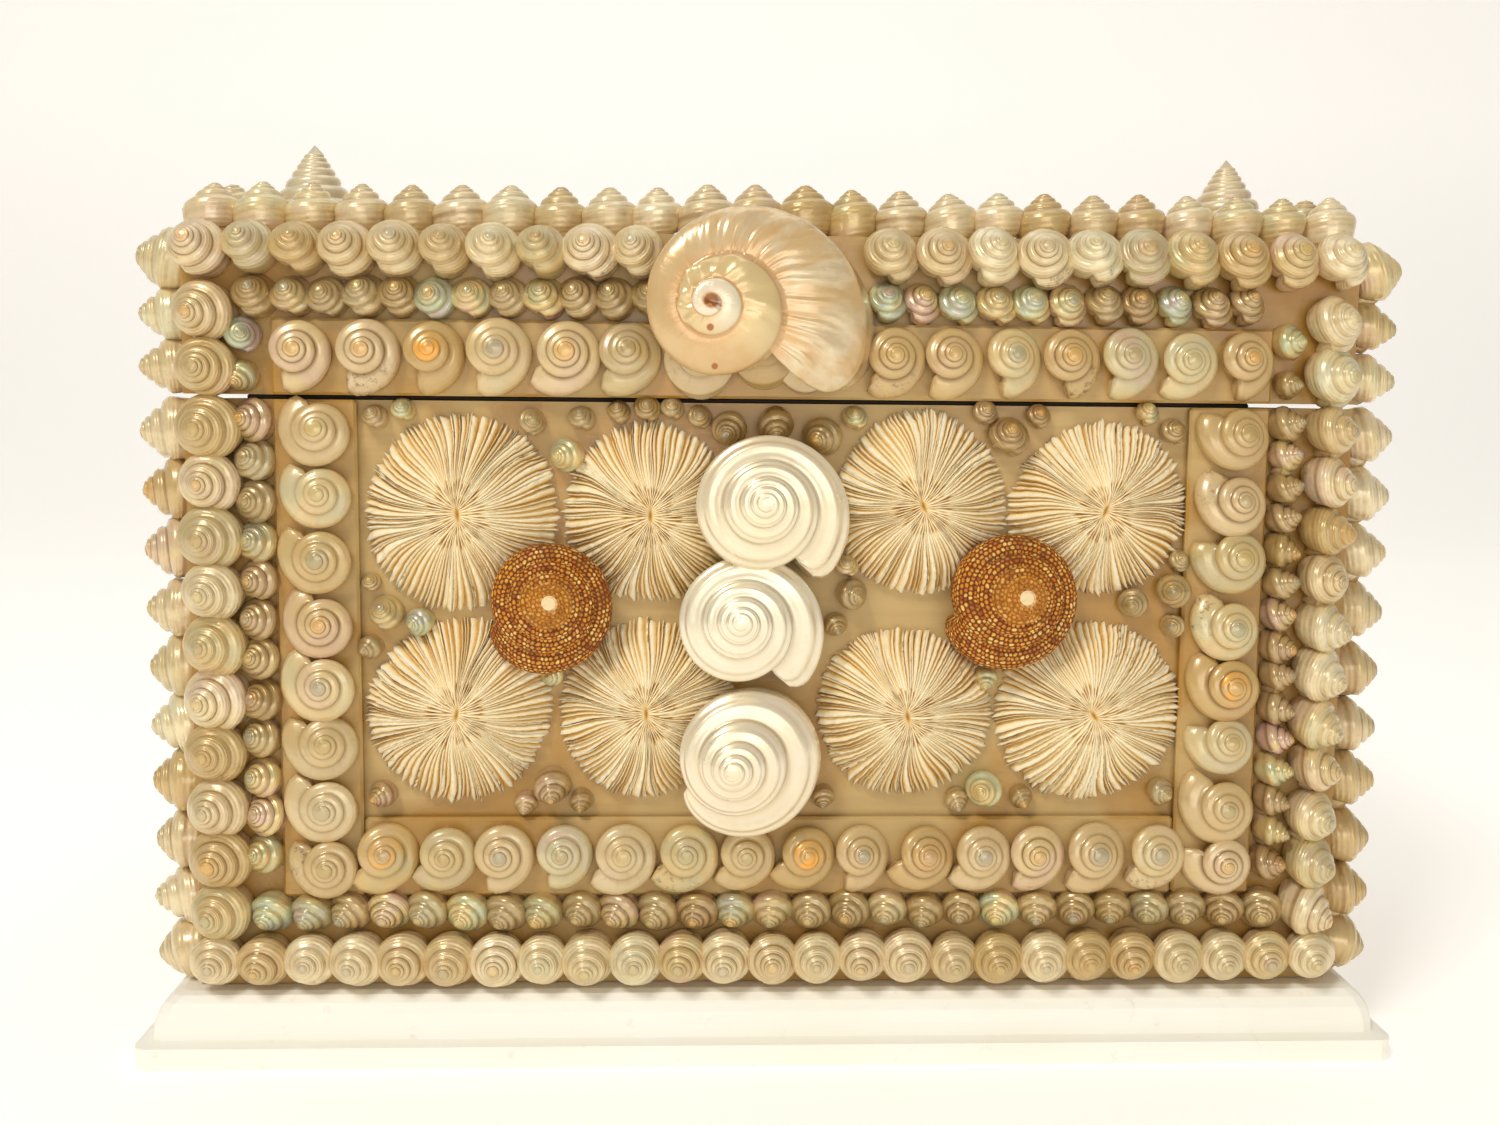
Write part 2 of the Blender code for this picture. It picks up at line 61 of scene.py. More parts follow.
def makeCamera(view):
    # Forward from turn and look-down angles, then right and up turned about it by the roll.
    turn, down, roll = (math.radians(view[k]) for k in ("turnRight", "lookDown", "roll"))
    forward = np.array([math.sin(turn) * math.cos(down), math.cos(turn) * math.cos(down), -math.sin(down)])
    level = np.array([math.cos(turn), -math.sin(turn), 0.0])
    above = np.cross(level, forward)
    right = math.cos(roll) * level + math.sin(roll) * above
    up = math.cos(roll) * above - math.sin(roll) * level
    data = bpy.data.cameras.new("camera")
    data.lens = view["lens"]
    data.sensor_width = sensorWidth
    data.clip_start = 0.01
    camera = bpy.data.objects.new("camera", data)
    columns = np.stack([right, up, -forward], axis=1)
    camera.matrix_world = Matrix.Translation(view["place"]) @ Matrix(columns.tolist()).to_4x4()
    bpy.context.scene.collection.objects.link(camera)
    bpy.context.scene.camera = camera


makeCamera(cameraView)

# The faces of the box.

bodyLow, bodyHigh = (np.array(c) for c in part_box("box_body"))
lidLow, lidHigh = (np.array(c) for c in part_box("box_lid"))


def faceOf(side, low, high):
    # Origin at the foot of the face, u to the right as seen from outside, v up, n out of the wood.
    x, y, z = np.eye(3)
    u, v, n = {
        "front": (x, z, -y),
        "back": (-x, z, y),
        "left": (-y, z, -x),
        "right": (y, z, x),
        "top": (x, y, z),
    }[side]
    middle = (low + high) / 2
    half = (high - low) / 2
    foot = middle + n * (half @ np.abs(n)) - (v * (half @ np.abs(v)) if side != "top" else 0)
    return {"origin": foot, "u": u, "v": v, "n": n, "half": float(half @ np.abs(u))}


bodyFaces = {side: faceOf(side, bodyLow, bodyHigh) for side in ("front", "back", "left", "right")}
lidFaces = {side: faceOf(side, lidLow, lidHigh) for side in ("front", "back", "left", "right", "top")}


def raised(face, height):
    return {**face, "origin": face["origin"] + face["n"] * height}


def spanOf(node, face):
    # Lowest and highest u, v and n of a node in a face's own terms.
    corners = np.array(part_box(node))
    both = np.array([[(c - face["origin"]) @ face[k] for k in ("u", "v", "n")] for c in corners])
    return both.min(0), both.max(0)


# Mesh making.


def makeMesh(name, points, quads, tris=None, uv=None, values=None, colours=None, material=None):
    # Quads and triangles go in as flat index arrays, and each array of values becomes an attribute.
    tris = np.zeros((0, 3), int) if tris is None else tris
    loops = np.concatenate([quads.ravel(), tris.ravel()])
    starts = np.concatenate([np.arange(len(quads)) * 4, len(quads) * 4 + np.arange(len(tris)) * 3])
    mesh = bpy.data.meshes.new(name)
    mesh.vertices.add(len(points))
    mesh.vertices.foreach_set("co", points.astype(np.float32).ravel())
    mesh.loops.add(len(loops))
    mesh.loops.foreach_set("vertex_index", loops.astype(np.int32))
    mesh.polygons.add(len(starts))
    mesh.polygons.foreach_set("loop_start", starts.astype(np.int32))
    mesh.polygons.foreach_set("use_smooth", np.ones(len(starts), bool))
    if uv is not None:
        layer = mesh.uv_layers.new(name="coil")
        layer.uv.foreach_set("vector", uv.astype(np.float32).ravel())
    for key, numbers in (values or {}).items():
        layer = mesh.attributes.new(key, "FLOAT", "POINT")
        layer.data.foreach_set("value", numbers.astype(np.float32).ravel())
    for key, numbers in (colours or {}).items():
        layer = mesh.attributes.new(key, "FLOAT_COLOR", "POINT")
        layer.data.foreach_set("color", numbers.astype(np.float32).ravel())
    mesh.update(calc_edges=True)
    mesh.validate()
    piece = bpy.data.objects.new(name, mesh)
    bpy.context.scene.collection.objects.link(piece)
    if material is not None:
        mesh.materials.append(material)
    return piece


def stand(piece, slot, *nodes):
    # Every piece rides on the one body, and may stand for solids of the frame.
    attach(piece, "root")
    if nodes:
        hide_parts(*nodes)


def smooth(low, high, x):
    # Eased step: 0 below low, 1 above high, and 3s^2 - 2s^3 between.
    s = np.clip((x - low) / (high - low), 0, 1)
    return s * s * (3 - 2 * s)


# Coiled shells.


def coilLattice(turns, rows, columns, baseRows):
    # A grid of angle by row. Row j at the end of a turn is row j + rows at its start, so the turns
    # join along one spiral seam. The last turn ends free, as the shell's lip.
    last = turns * rows
    height = last + baseRows + 1
    grid = np.empty((columns + 1, height), int)
    grid[:columns] = np.arange(columns * height).reshape(columns, height)
    grid[columns, : last - rows + 1] = grid[0, rows : last + 1]
    free = height - (last - rows) - 1
    grid[columns, last - rows + 1 :] = columns * height + np.arange(free)
    apex = columns * height + free
    base = apex + 1
    quads = np.stack([grid[:-1, :-1], grid[:-1, 1:], grid[1:, 1:], grid[1:, :-1]], -1).reshape(-1, 4)
    across = np.repeat(np.arange(columns), height - 1)
    row = np.tile(np.arange(height - 1), columns)
    turn = np.minimum(row // rows, turns - 1)
    band = (row - turn * rows) / rows
    below = row >= last
    low = np.where(below, 1 + (row - last) / max(baseRows, 1), band)
    step = np.where(below, 1 / max(baseRows, 1), 1 / rows)
    start = across / columns + turn
    quadUv = np.stack(
        [
            np.stack([start, low], -1),
            np.stack([start, low + step], -1),
            np.stack([start + 1 / columns, low + step], -1),
            np.stack([start + 1 / columns, low], -1),
        ],
        1,
    )
    rimTop = np.concatenate([grid[:-1, 0], grid[0, rows:0:-1]])
    tipFan = np.stack([rimTop, np.roll(rimTop, -1), np.full(len(rimTop), apex)], -1)
    rimBase = np.concatenate(
        [grid[0, last:-1], grid[:-1, -1], grid[columns, :last - rows:-1]]
    )
    baseFan = np.stack([np.roll(rimBase, -1), rimBase, np.full(len(rimBase), base)], -1)
    tipUv = np.tile([[0.0, 0.5]], (len(tipFan) * 3, 1))
    baseUv = np.tile([[float(turns), 2.0]], (len(baseFan) * 3, 1))
    angle = np.concatenate([np.repeat(np.arange(columns) / columns, height), np.ones(free)])
    rowOf = np.concatenate([np.tile(np.arange(height), columns), np.arange(last - rows + 1, height)])
    return {
        "angle": angle, "row": rowOf, "quads": quads, "tris": np.concatenate([tipFan, baseFan]),
        "uv": np.concatenate([quadUv.reshape(-1, 2), tipUv, baseUv]),
        "turns": turns, "rows": rows, "baseRows": baseRows, "base": base, "apex": apex,
        "count": base + 1, "rimBase": rimBase,
    }


def coilSurface(style, lattice, count):
    # Radius grows by a fixed factor each turn, and the drop below the tip as a power of the radius.
    # Between two seams the outline is an arc of an oval, flat at the upper seam and tucked in at the
    # lower one. Below the last turn the arc goes on under the shell, stretched downwards. Over its
    # final stretch the last turn draws back along a quarter circle to where it began, so that the
    # lip is round. Relief is added along the radius and the height.
    vary = lambda key, spread: style[key] * (1 + spread * dice.uniform(-1, 1, (count, 1)))
    growth = vary("growth", 0.05)
    slope = vary("slope", 0.12)
    angle, row = lattice["angle"], lattice["row"]
    turns, rows = lattice["turns"], lattice["rows"]
    turn = np.minimum(row // rows, turns - 1)
    band = np.clip((row - turn * rows) / rows, 0, 1)
    under = np.clip((row - turns * rows) / max(lattice["baseRows"], 1), 0, 1)
    coil = angle + turn
    endArc = math.pi / 2 * (1 + style["undercut"])
    arc = band * endArc + under * (0.93 * math.pi - endArc)
    out = np.sin(arc) / math.sin(endArc)
    drop = (1 - np.cos(arc)) / (1 - math.cos(endArc))
    size = growth ** (coil - turns)
    late = np.clip((coil - turns) / style["shutFrom"] + 1, 0, 1)
    swell = (growth - 1) * (1 - style["shut"] * (1 - np.sqrt(1 - late ** 2)))
    edge = size * (1 + swell)
    radius = size * (1 + swell * out) * (1 - style["tuckIn"] * under ** 2)
    depth = slope * (size * (1 + swell * drop)) ** style.get("dome", 1.0)
    depth = depth + style["belly"] * edge * np.sin(under * math.pi / 2)
    if "core" in style:
        first = (1 - band) ** 2 * (1 - smooth(0.55, 1.0, coil))
        radius = radius * (1 - style["core"] * first)
    flare = 1 + style.get("flare", 0) * smooth(turns - 0.28, turns, coil) * band
    radius = radius * flare
    lump = style.get("relief")
    if lump is not None:
        swelling = lump(coil, band, under, turns)
        radius = radius + swelling * edge * 0.7
        depth = depth - swelling * edge * (0.7 if slope.mean() < 1 else 0.35)
    turnAngle = -2 * math.pi * angle
    x = radius * np.cos(turnAngle)
    y = radius * np.sin(turnAngle)
    z = -depth
    n = lattice["count"]
    points = np.zeros((count, n, 3))
    points[:, : len(angle), 0] = x
    points[:, : len(angle), 1] = y
    points[:, : len(angle), 2] = z
    topRow = z[:, :1]
    points[:, lattice["apex"], 2] = topRow[:, 0] * style.get("tipDepth", 0.35)
    lowRing = points[:, lattice["rimBase"]]
    points[:, lattice["base"]] = lowRing.mean(1)
    low, high = points[..., :2].min(1), points[..., :2].max(1)
    middle, half = (low + high) / 2, ((high - low) / 2).max(1)
    points[..., :2] -= middle[:, None]
    points[..., :2] /= half[:, None, None]
    foot = np.quantile(lowRing[..., 2], 0.35, axis=1)
    top = points[..., 2].max(1)
    points[..., 2] = (points[..., 2] - foot[:, None]) / (top - foot)[:, None]
    coilAll = np.zeros(n)
    coilAll[: len(angle)] = coil
    coilAll[lattice["base"]] = turns
    return points, coilAll


def aimed(spin, lean, tilt):
    # A turn about the shell's own axis, then a tip of that axis towards the direction lean.
    c, s = np.cos(spin), np.sin(spin)
    o, i = np.zeros_like(c), np.ones_like(c)
    about = np.stack([np.stack([c, -s, o], -1), np.stack([s, c, o], -1), np.stack([o, o, i], -1)], 1)
    ax, ay = -np.sin(lean), np.cos(lean)
    k = np.stack(
        [np.stack([o, o, ay], -1), np.stack([o, o, -ax], -1), np.stack([-ay, ax, o], -1)], 1
    )
    tip = np.eye(3) + np.sin(tilt)[:, None, None] * k + (1 - np.cos(tilt))[:, None, None] * (k @ k)
    return tip @ about


def wide(value, count):
    return np.broadcast_to(np.asarray(value, float), (count,)).copy()


def coilShells(style, face, u, v, width, rise, lean=90.0, tilt=0.0, lip=-120.0, wobble=1.0, tip=None):
    # A batch of shells on one face. Sizes and angles are arrays or single numbers, and each shell is
    # scaled so that it stands just rise high. Where tip is given, as a u and v, the shell slants in
    # proportion to height until its tip is there.
    u, v = np.asarray(u, float), np.asarray(v, float)
    count = len(u)
    lattice = coilLattice(style["turns"], style["rows"], style["columns"], style["baseRows"])
    local, coil = coilSurface(style, lattice, count)
    width, rise, lean, tilt, lip = (wide(a, count) for a in (width, rise, lean, tilt, lip))
    jitter = lambda amount: wobble * amount * dice.uniform(-1, 1, count)
    width = width * (1 + jitter(0.05))
    tilt = np.radians(tilt + jitter(7))
    lean = np.radians(lean + jitter(22))
    spin = np.radians(lip + jitter(25))
    local = local * np.stack([width / 2, width / 2, rise], -1)[:, None, :]
    turned = np.einsum("sij,snj->sni", aimed(spin, lean, tilt), local)
    low, high = turned[..., :2].min(1), turned[..., :2].max(1)
    turned[..., :2] -= ((low + high) / 2)[:, None]
    turned[..., :2] *= (width / (high - low).max(1))[:, None, None]
    turned[..., 2] -= (np.sin(tilt) * width * style.get("sink", 0.30))[:, None]
    turned[..., 2] *= (rise / turned[..., 2].max(1))[:, None]
    turned[..., 2] = np.maximum(turned[..., 2], style.get("floor", -0.0012))
    if tip is not None:
        apex = turned[:, lattice["apex"]]
        wanted = np.asarray(tip, float) - np.stack([u, v], -1)
        slant = (wanted - apex[:, :2]) / rise[:, None]
        turned[..., :2] += slant[:, None] * np.maximum(turned[..., 2:], 0)
    u = u + jitter(0.00035)
    v = v + jitter(0.00035)
    centre = face["origin"] + u[:, None] * face["u"] + v[:, None] * face["v"]
    basis = np.stack([face["u"], face["v"], face["n"]])
    world = centre[:, None] + turned @ basis
    seed = np.ones((count, lattice["count"], 4)) * dice.random((count, 1, 4))
    return {"points": world, "lattice": lattice, "coil": coil, "seed": seed, "turns": style["turns"]}


def coilPiece(name, batches, material, slot, nodes=()):
    # Joins batches of shells into one object, with the spiral as its UV map.
    points, quads, tris, quadUv, triUv, seeds, lips = [], [], [], [], [], [], []
    offset = 0
    for batch in batches:
        lattice = batch["lattice"]
        count = len(batch["points"])
        starts = offset + np.arange(count)[:, None, None] * lattice["count"]
        quads.append((lattice["quads"] + starts).reshape(-1, 4))
        tris.append((lattice["tris"] + starts).reshape(-1, 3))
        cut = len(lattice["quads"]) * 4
        quadUv.append(np.tile(lattice["uv"][:cut], (count, 1)))
        triUv.append(np.tile(lattice["uv"][cut:], (count, 1)))
        points.append(batch["points"].reshape(-1, 3))
        seeds.append(batch["seed"].reshape(-1, 4))
        lips.append(np.tile(smooth(batch["turns"] - 0.6, batch["turns"], batch["coil"]), count))
        offset += count * lattice["count"]
    values = {"lip": np.concatenate(lips)}
    piece = makeMesh(
        name, np.concatenate(points), np.concatenate(quads), np.concatenate(tris),
        np.concatenate(quadUv + triUv), values, {"seed": np.concatenate(seeds)}, material,
    )
    stand(piece, slot, *nodes)
    return piece


# Shader helpers.


def newMaterial(name):
    made = bpy.data.materials.new(name)
    made.use_nodes = True
    return made, made.node_tree, made.node_tree.nodes["Principled BSDF"]


def add(tree, kind, inputs=None, **settings):
    # One node, with its settings and with its inputs set to a value or linked to a socket.
    made = tree.nodes.new("ShaderNode" + kind)
    for key, value in settings.items():
        setattr(made, key, value)
    for key, value in (inputs or {}).items():
        socket = made.inputs[key]
        if isinstance(value, bpy.types.NodeSocket):
            tree.links.new(value, socket)
        else:
            socket.default_value = value
    return made


def maths(tree, operation, a, b=0.0, clamp=False):
    made = add(tree, "Math", {0: a, 1: b}, operation=operation, use_clamp=clamp)
    return made.outputs[0]


def remap(tree, value, low, high, toLow=0.0, toHigh=1.0):
    made = add(
        tree, "MapRange",
        {"Value": value, "From Min": low, "From Max": high, "To Min": toLow, "To Max": toHigh},
        interpolation_type="SMOOTHSTEP",
    )
    return made.outputs["Result"]


def blendColour(tree, factor, a, b, mode="MIX"):
    made = add(tree, "Mix", data_type="RGBA", blend_type=mode)
    for key, value in ((0, factor), (6, a), (7, b)):
        if isinstance(value, bpy.types.NodeSocket):
            tree.links.new(value, made.inputs[key])
        else:
            made.inputs[key].default_value = (*value, 1.0) if isinstance(value, tuple) else value
    return made.outputs[2]


def noise(tree, place, scale, detail=2.0, rough=0.5, kind="Fac"):
    made = add(tree, "TexNoise", {"Vector": place, "Scale": scale, "Detail": detail, "Roughness": rough})
    return made.outputs[kind]


def ramp(tree, factor, stops):
    made = add(tree, "ValToRGB", {"Fac": factor})
    band = made.color_ramp
    while len(band.elements) < len(stops):
        band.elements.new(0.5)
    for element, (at, colour) in zip(band.elements, stops):
        element.position = at
        element.color = (*colour, 1.0)
    return made.outputs["Color"]


def newGroup(name, inputs, outputs):
    group = bpy.data.node_groups.new(name, "ShaderNodeTree")
    for label, kind in inputs:
        group.interface.new_socket(label, in_out="INPUT", socket_type=kind)
    for label, kind in outputs:
        group.interface.new_socket(label, in_out="OUTPUT", socket_type=kind)
    source = group.nodes.new("NodeGroupInput")
    sink = group.nodes.new("NodeGroupOutput")
    return group, source.outputs, sink.inputs


def objectPlace(tree):
    return add(tree, "TexCoord").outputs["Object"]


# Shell finish. Colour: a cream mixed from two by the shell's own number, painted iridescent sheen in
# soft patches of pink, gold, green and blue, browner in the seams, darker at the tip, orange round
# the tip of a few and stained near some lips. Relief: growth lines across the coil and faint threads along
# it.
def shellFinish():
    colour, number = "NodeSocketColor", "NodeSocketFloat"
    group, into, out = newGroup(
        "shell_finish",
        [("Pale", colour), ("Warm", colour), ("Seam", colour), ("Tint", number), ("Tip", number),
         ("Stain", number), ("Ember", number), ("Growth", number), ("Threads", number),
         ("Polish", number)],
        [("Colour", colour), ("Roughness", number), ("Relief", number)],
    )
    seed = add(group, "Attribute", attribute_name="seed")
    lip = add(group, "Attribute", attribute_name="lip").outputs["Fac"]
    own = add(group, "SeparateColor", {"Color": seed.outputs["Color"]})
    first, second, third = (own.outputs[i] for i in range(3))
    coil = add(group, "SeparateXYZ", {"Vector": add(group, "UVMap", uv_map="coil").outputs["UV"]})
    along, across = coil.outputs["X"], coil.outputs["Y"]
    here = objectPlace(group)
    base = blendColour(group, first, into["Pale"], into["Warm"])
    mottle = noise(group, here, 150.0, 2.0)
    base = blendColour(group, remap(group, mottle, 0.35, 0.7, 0.0, 0.30), base, into["Warm"])
    # Painted iridescent sheen: rainbow tints by noise, the shell's number and the place across the coil,
    # fixed in the colour.
    sheen = noise(group, here, 120.0, 1.0, 0.4)
    sheen = maths(group, "ADD", sheen, maths(group, "MULTIPLY", second, 0.5))
    sheen = maths(group, "ADD", sheen, maths(group, "MULTIPLY", across, 0.22))
    rainbow = ramp(group, maths(group, "FRACT", sheen), [
        (0.0, (0.84, 0.64, 0.40)), (0.18, (0.84, 0.55, 0.46)), (0.36, (0.66, 0.50, 0.52)),
        (0.54, (0.52, 0.64, 0.50)), (0.72, (0.66, 0.70, 0.38)), (0.88, (0.86, 0.66, 0.28)),
    ])
    strength = remap(group, third, 0.25, 1.0, 0.12, 1.0)
    strength = maths(group, "MULTIPLY", strength, into["Tint"])
    base = blendColour(group, strength, base, rainbow)
    ring = remap(group, across, 0.0, 0.17, 0.9, 0.0)
    lower = remap(group, across, 0.84, 1.0, 0.0, 0.7)
    inner = remap(group, across, 1.0, 1.2, 1.0, 0.0)
    ring = maths(group, "MAXIMUM", ring, maths(group, "MULTIPLY", lower, inner))
    inked = remap(group, second, 0.55, 0.85, 0.24, 0.95)
    base = blendColour(group, maths(group, "MULTIPLY", ring, inked), base, into["Seam"])
    lineSpace = add(group, "CombineXYZ", {
        "X": maths(group, "MULTIPLY", along, 26.0), "Y": maths(group, "MULTIPLY", across, 1.3),
        "Z": maths(group, "MULTIPLY", second, 60.0),
    }).outputs["Vector"]
    lines = noise(group, lineSpace, 1.0, 3.0, 0.6)
    base = blendColour(group, remap(group, lines, 0.50, 0.80, 0.0, 0.16), base, into["Seam"])
    threads = maths(group, "SINE", maths(group, "MULTIPLY", across, 31.0))
    worn = remap(group, noise(group, here, 300.0, 2.0), 0.35, 0.65, 0.2, 1.0)
    threads = maths(group, "MULTIPLY", maths(group, "MULTIPLY", threads, into["Threads"]), worn)
    base = blendColour(group, remap(group, threads, 0.05, 0.5, 0.0, 0.20), base, into["Seam"])
    tipMask = maths(group, "MULTIPLY", remap(group, along, 0.5, 1.9, 1.0, 0.0), into["Tip"])
    tipColour = ramp(group, second, [
        (0.0, (0.40, 0.27, 0.09)), (0.30, (0.66, 0.50, 0.15)), (0.52, (0.30, 0.29, 0.19)),
        (0.72, (0.34, 0.33, 0.25)), (0.86, (0.66, 0.44, 0.13)), (1.0, (0.82, 0.42, 0.07)),
    ])
    base = blendColour(group, tipMask, base, tipColour)
    inside = remap(group, along, 1.9, 2.9, 1.0, 0.0)
    glow = maths(group, "MULTIPLY", remap(group, first, 0.84, 0.88), inside)
    glow = maths(group, "MULTIPLY", glow, remap(group, mottle, 0.36, 0.56, 0.2, 1.0))
    base = blendColour(group, maths(group, "MULTIPLY", glow, into["Ember"]), base, (0.92, 0.42, 0.045))
    specks = remap(group, noise(group, here, 420.0, 5.0, 0.75), 0.50, 0.68, 0.0, 0.9)
    marked = remap(group, seed.outputs["Alpha"], 0.70, 0.90, 0.0, 1.0)
    stain = maths(group, "MULTIPLY", maths(group, "MULTIPLY", specks, marked), into["Stain"])
    stain = maths(group, "MULTIPLY", stain, remap(group, lip, 0.35, 0.95))
    base = blendColour(group, stain, base, (0.13, 0.075, 0.03))
    group.links.new(base, out["Colour"])
    rough = maths(group, "ADD", into["Polish"], maths(group, "MULTIPLY", mottle, 0.22))
    rough = maths(group, "ADD", rough, maths(group, "MULTIPLY", stain, 0.3))
    group.links.new(rough, out["Roughness"])
    relief = maths(group, "ADD", maths(group, "MULTIPLY", lines, into["Growth"]), threads)
    group.links.new(relief, out["Relief"])
    return group


shellGroup = shellFinish()


def shellMaterial(name, look):
    # The shared finish with this shell's colours and amounts, a Bump node and a thin clear coat.
    made, tree, shader = newMaterial(name)
    finish = tree.nodes.new("ShaderNodeGroup")
    finish.node_tree = shellGroup
    for key in ("Pale", "Warm", "Seam"):
        finish.inputs[key].default_value = (*look[key], 1.0)
    for key in ("Tint", "Tip", "Stain", "Ember", "Growth", "Threads"):
        finish.inputs[key].default_value = look.get(key, 0.0)
    finish.inputs["Polish"].default_value = look.get("rough", 0.24)
    strength = look.get("bump", 0.40)
    bump = add(tree, "Bump", {"Height": finish.outputs["Relief"], "Strength": strength, "Distance": 0.0003})
    tree.links.new(finish.outputs["Colour"], shader.inputs["Base Color"])
    tree.links.new(finish.outputs["Roughness"], shader.inputs["Roughness"])
    tree.links.new(bump.outputs["Normal"], shader.inputs["Normal"])
    shader.inputs["Coat Weight"].default_value = look.get("coat", 0.25)
    shader.inputs["Coat Roughness"].default_value = 0.08
    shader.inputs["Specular IOR Level"].default_value = 0.6
    shader.inputs["Metallic"].default_value = look.get("metal", 0.0)
    return made


rimMaterial = shellMaterial("rim_shell", {
    "Pale": (0.91, 0.775, 0.50), "Warm": (0.60, 0.41, 0.155), "Seam": (0.34, 0.17, 0.035),
    "Tint": 0.34, "Tip": 0.40, "Stain": 0.7, "Ember": 0.15, "Growth": 0.35, "Threads": 0.50,
    "coat": 0.5, "metal": 0.22, "rough": 0.22,
})
frameShellMaterial = shellMaterial("frame_shell", {
    "Pale": (0.71, 0.545, 0.30), "Warm": (0.55, 0.35, 0.11), "Seam": (0.27, 0.14, 0.04),
    "Tint": 0.32, "Tip": 0.55, "Stain": 1.0, "Ember": 0.95, "Growth": 0.25, "Threads": 0.15,
    "coat": 0.7, "metal": 0.14, "rough": 0.22,
})
smallMaterial = shellMaterial("small_shell", {
    "Pale": (0.55, 0.395, 0.185), "Warm": (0.39, 0.245, 0.075), "Seam": (0.19, 0.095, 0.022),
    "Tint": 0.75, "Tip": 0.6, "Stain": 0.2, "Ember": 0.3, "Growth": 0.2, "Threads": 0.2,
    "coat": 0.8, "metal": 0.35, "rough": 0.20,
})
pearlMaterial = shellMaterial("pearl_shell", {
    "Pale": (0.94, 0.86, 0.66), "Warm": (0.90, 0.78, 0.54), "Seam": (0.76, 0.61, 0.38),
    "Tint": 0.34, "Tip": 0.0, "Stain": 0.0, "Growth": 0.10, "Threads": 0.70, "coat": 1.0,
    "metal": 0.38, "rough": 0.20, "bump": 0.10,
})
spireMaterial = shellMaterial("spire_shell", {
    "Pale": (0.88, 0.78, 0.57), "Warm": (0.76, 0.62, 0.38), "Seam": (0.38, 0.25, 0.10),
    "Tint": 0.30, "Tip": 0.1, "Stain": 0.0, "Growth": 0.1, "Threads": 0.1, "coat": 0.8,
    "metal": 0.22, "rough": 0.24,
})
print("shell finishes made")


# Wood, plinth and felt.


def woodFinish():
    # Ivory paint: pale in the open, amber where glue soaked in, by patches of noise that grow
    # stronger away from the middle panel and are faint behind the front. Brush marks run along X as
    # stretched noise.
    made, tree, shader = newMaterial("ivory_wood")
    here = objectPlace(tree)
    spot = add(tree, "SeparateXYZ", {"Vector": here}).outputs
    outward = remap(tree, maths(tree, "ABSOLUTE", spot["X"]), 0.100, 0.136)
    lowBand = remap(tree, spot["Z"], 0.068, 0.046, 0.0, 0.5)
    margin = maths(tree, "MAXIMUM", outward, lowBand)
    patches = noise(tree, here, 60.0, 4.0, 0.6)
    amber = maths(tree, "MULTIPLY", remap(tree, patches, 0.32, 0.62, 0.35, 1.0), margin)
    soft = remap(tree, noise(tree, here, 34.0, 3.0), 0.42, 0.62, 0.0, 0.85)
    amber = maths(tree, "MAXIMUM", amber, soft)
    amber = maths(tree, "MULTIPLY", amber, remap(tree, spot["Y"], -0.100, -0.094, 1.0, 0.22))
    base = blendColour(tree, amber, (0.54, 0.375, 0.145), (0.43, 0.22, 0.034))
    stretch = add(tree, "Mapping", {"Vector": here, "Scale": (22.0, 420.0, 420.0)}).outputs["Vector"]
    brush = noise(tree, stretch, 1.0, 3.0)
    base = blendColour(tree, remap(tree, brush, 0.40, 0.75, 0.0, 0.22), base, (0.36, 0.21, 0.07))
    tree.links.new(base, shader.inputs["Base Color"])
    tree.links.new(remap(tree, amber, 0.0, 0.8, 0.50, 0.26), shader.inputs["Roughness"])
    pooled = maths(tree, "ADD", brush, maths(tree, "MULTIPLY", patches, 2.5))
    bump = add(tree, "Bump", {"Height": pooled, "Strength": 0.30, "Distance": 0.0004})
    tree.links.new(bump.outputs["Normal"], shader.inputs["Normal"])
    return made


def plinthFinish():
    # Brushed satin paint: faint brush ridges, a few pale scuffs and a warmer tone in soft patches.
    made, tree, shader = newMaterial("white_satin_paint")
    here = objectPlace(tree)
    stretch = add(tree, "Mapping", {"Vector": here, "Scale": (30.0, 260.0, 260.0)}).outputs["Vector"]
    brush = noise(tree, stretch, 1.0, 4.0, 0.6)
    wear = remap(tree, noise(tree, here, 140.0, 5.0, 0.7), 0.60, 0.72)
    tone = remap(tree, noise(tree, here, 18.0, 2.0), 0.3, 0.7)
    base = blendColour(tree, tone, (0.985, 0.97, 0.88), (0.97, 0.945, 0.83))
    base = blendColour(tree, maths(tree, "MULTIPLY", wear, 0.35), base, (0.78, 0.70, 0.56))
    tree.links.new(base, shader.inputs["Base Color"])
    tree.links.new(remap(tree, brush, 0.3, 0.7, 0.36, 0.52), shader.inputs["Roughness"])
    bump = add(tree, "Bump", {"Height": brush, "Strength": 0.30, "Distance": 0.0004})
    tree.links.new(bump.outputs["Normal"], shader.inputs["Normal"])
    return made


def feltGapShadeFinish():
    # Near-black matted fibres, also standing in for the shade down in the slit under the lid: fine noise in
    # colour and height.
    made, tree, shader = newMaterial("dark_felt_gap_shade")
    fibres = noise(tree, objectPlace(tree), 1800.0, 4.0, 0.7)
    base = blendColour(tree, fibres, (0.018, 0.014, 0.010), (0.055, 0.042, 0.030))
    tree.links.new(base, shader.inputs["Base Color"])
    shader.inputs["Roughness"].default_value = 0.95
    bump = add(tree, "Bump", {"Height": fibres, "Strength": 0.6, "Distance": 0.0003})
    tree.links.new(bump.outputs["Normal"], shader.inputs["Normal"])
    return made


def dress(node, material):
    # A carried-over solid keeps its shape and gets a better finish.
    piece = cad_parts[node]
    piece.data.materials.clear()
    piece.data.materials.append(material)


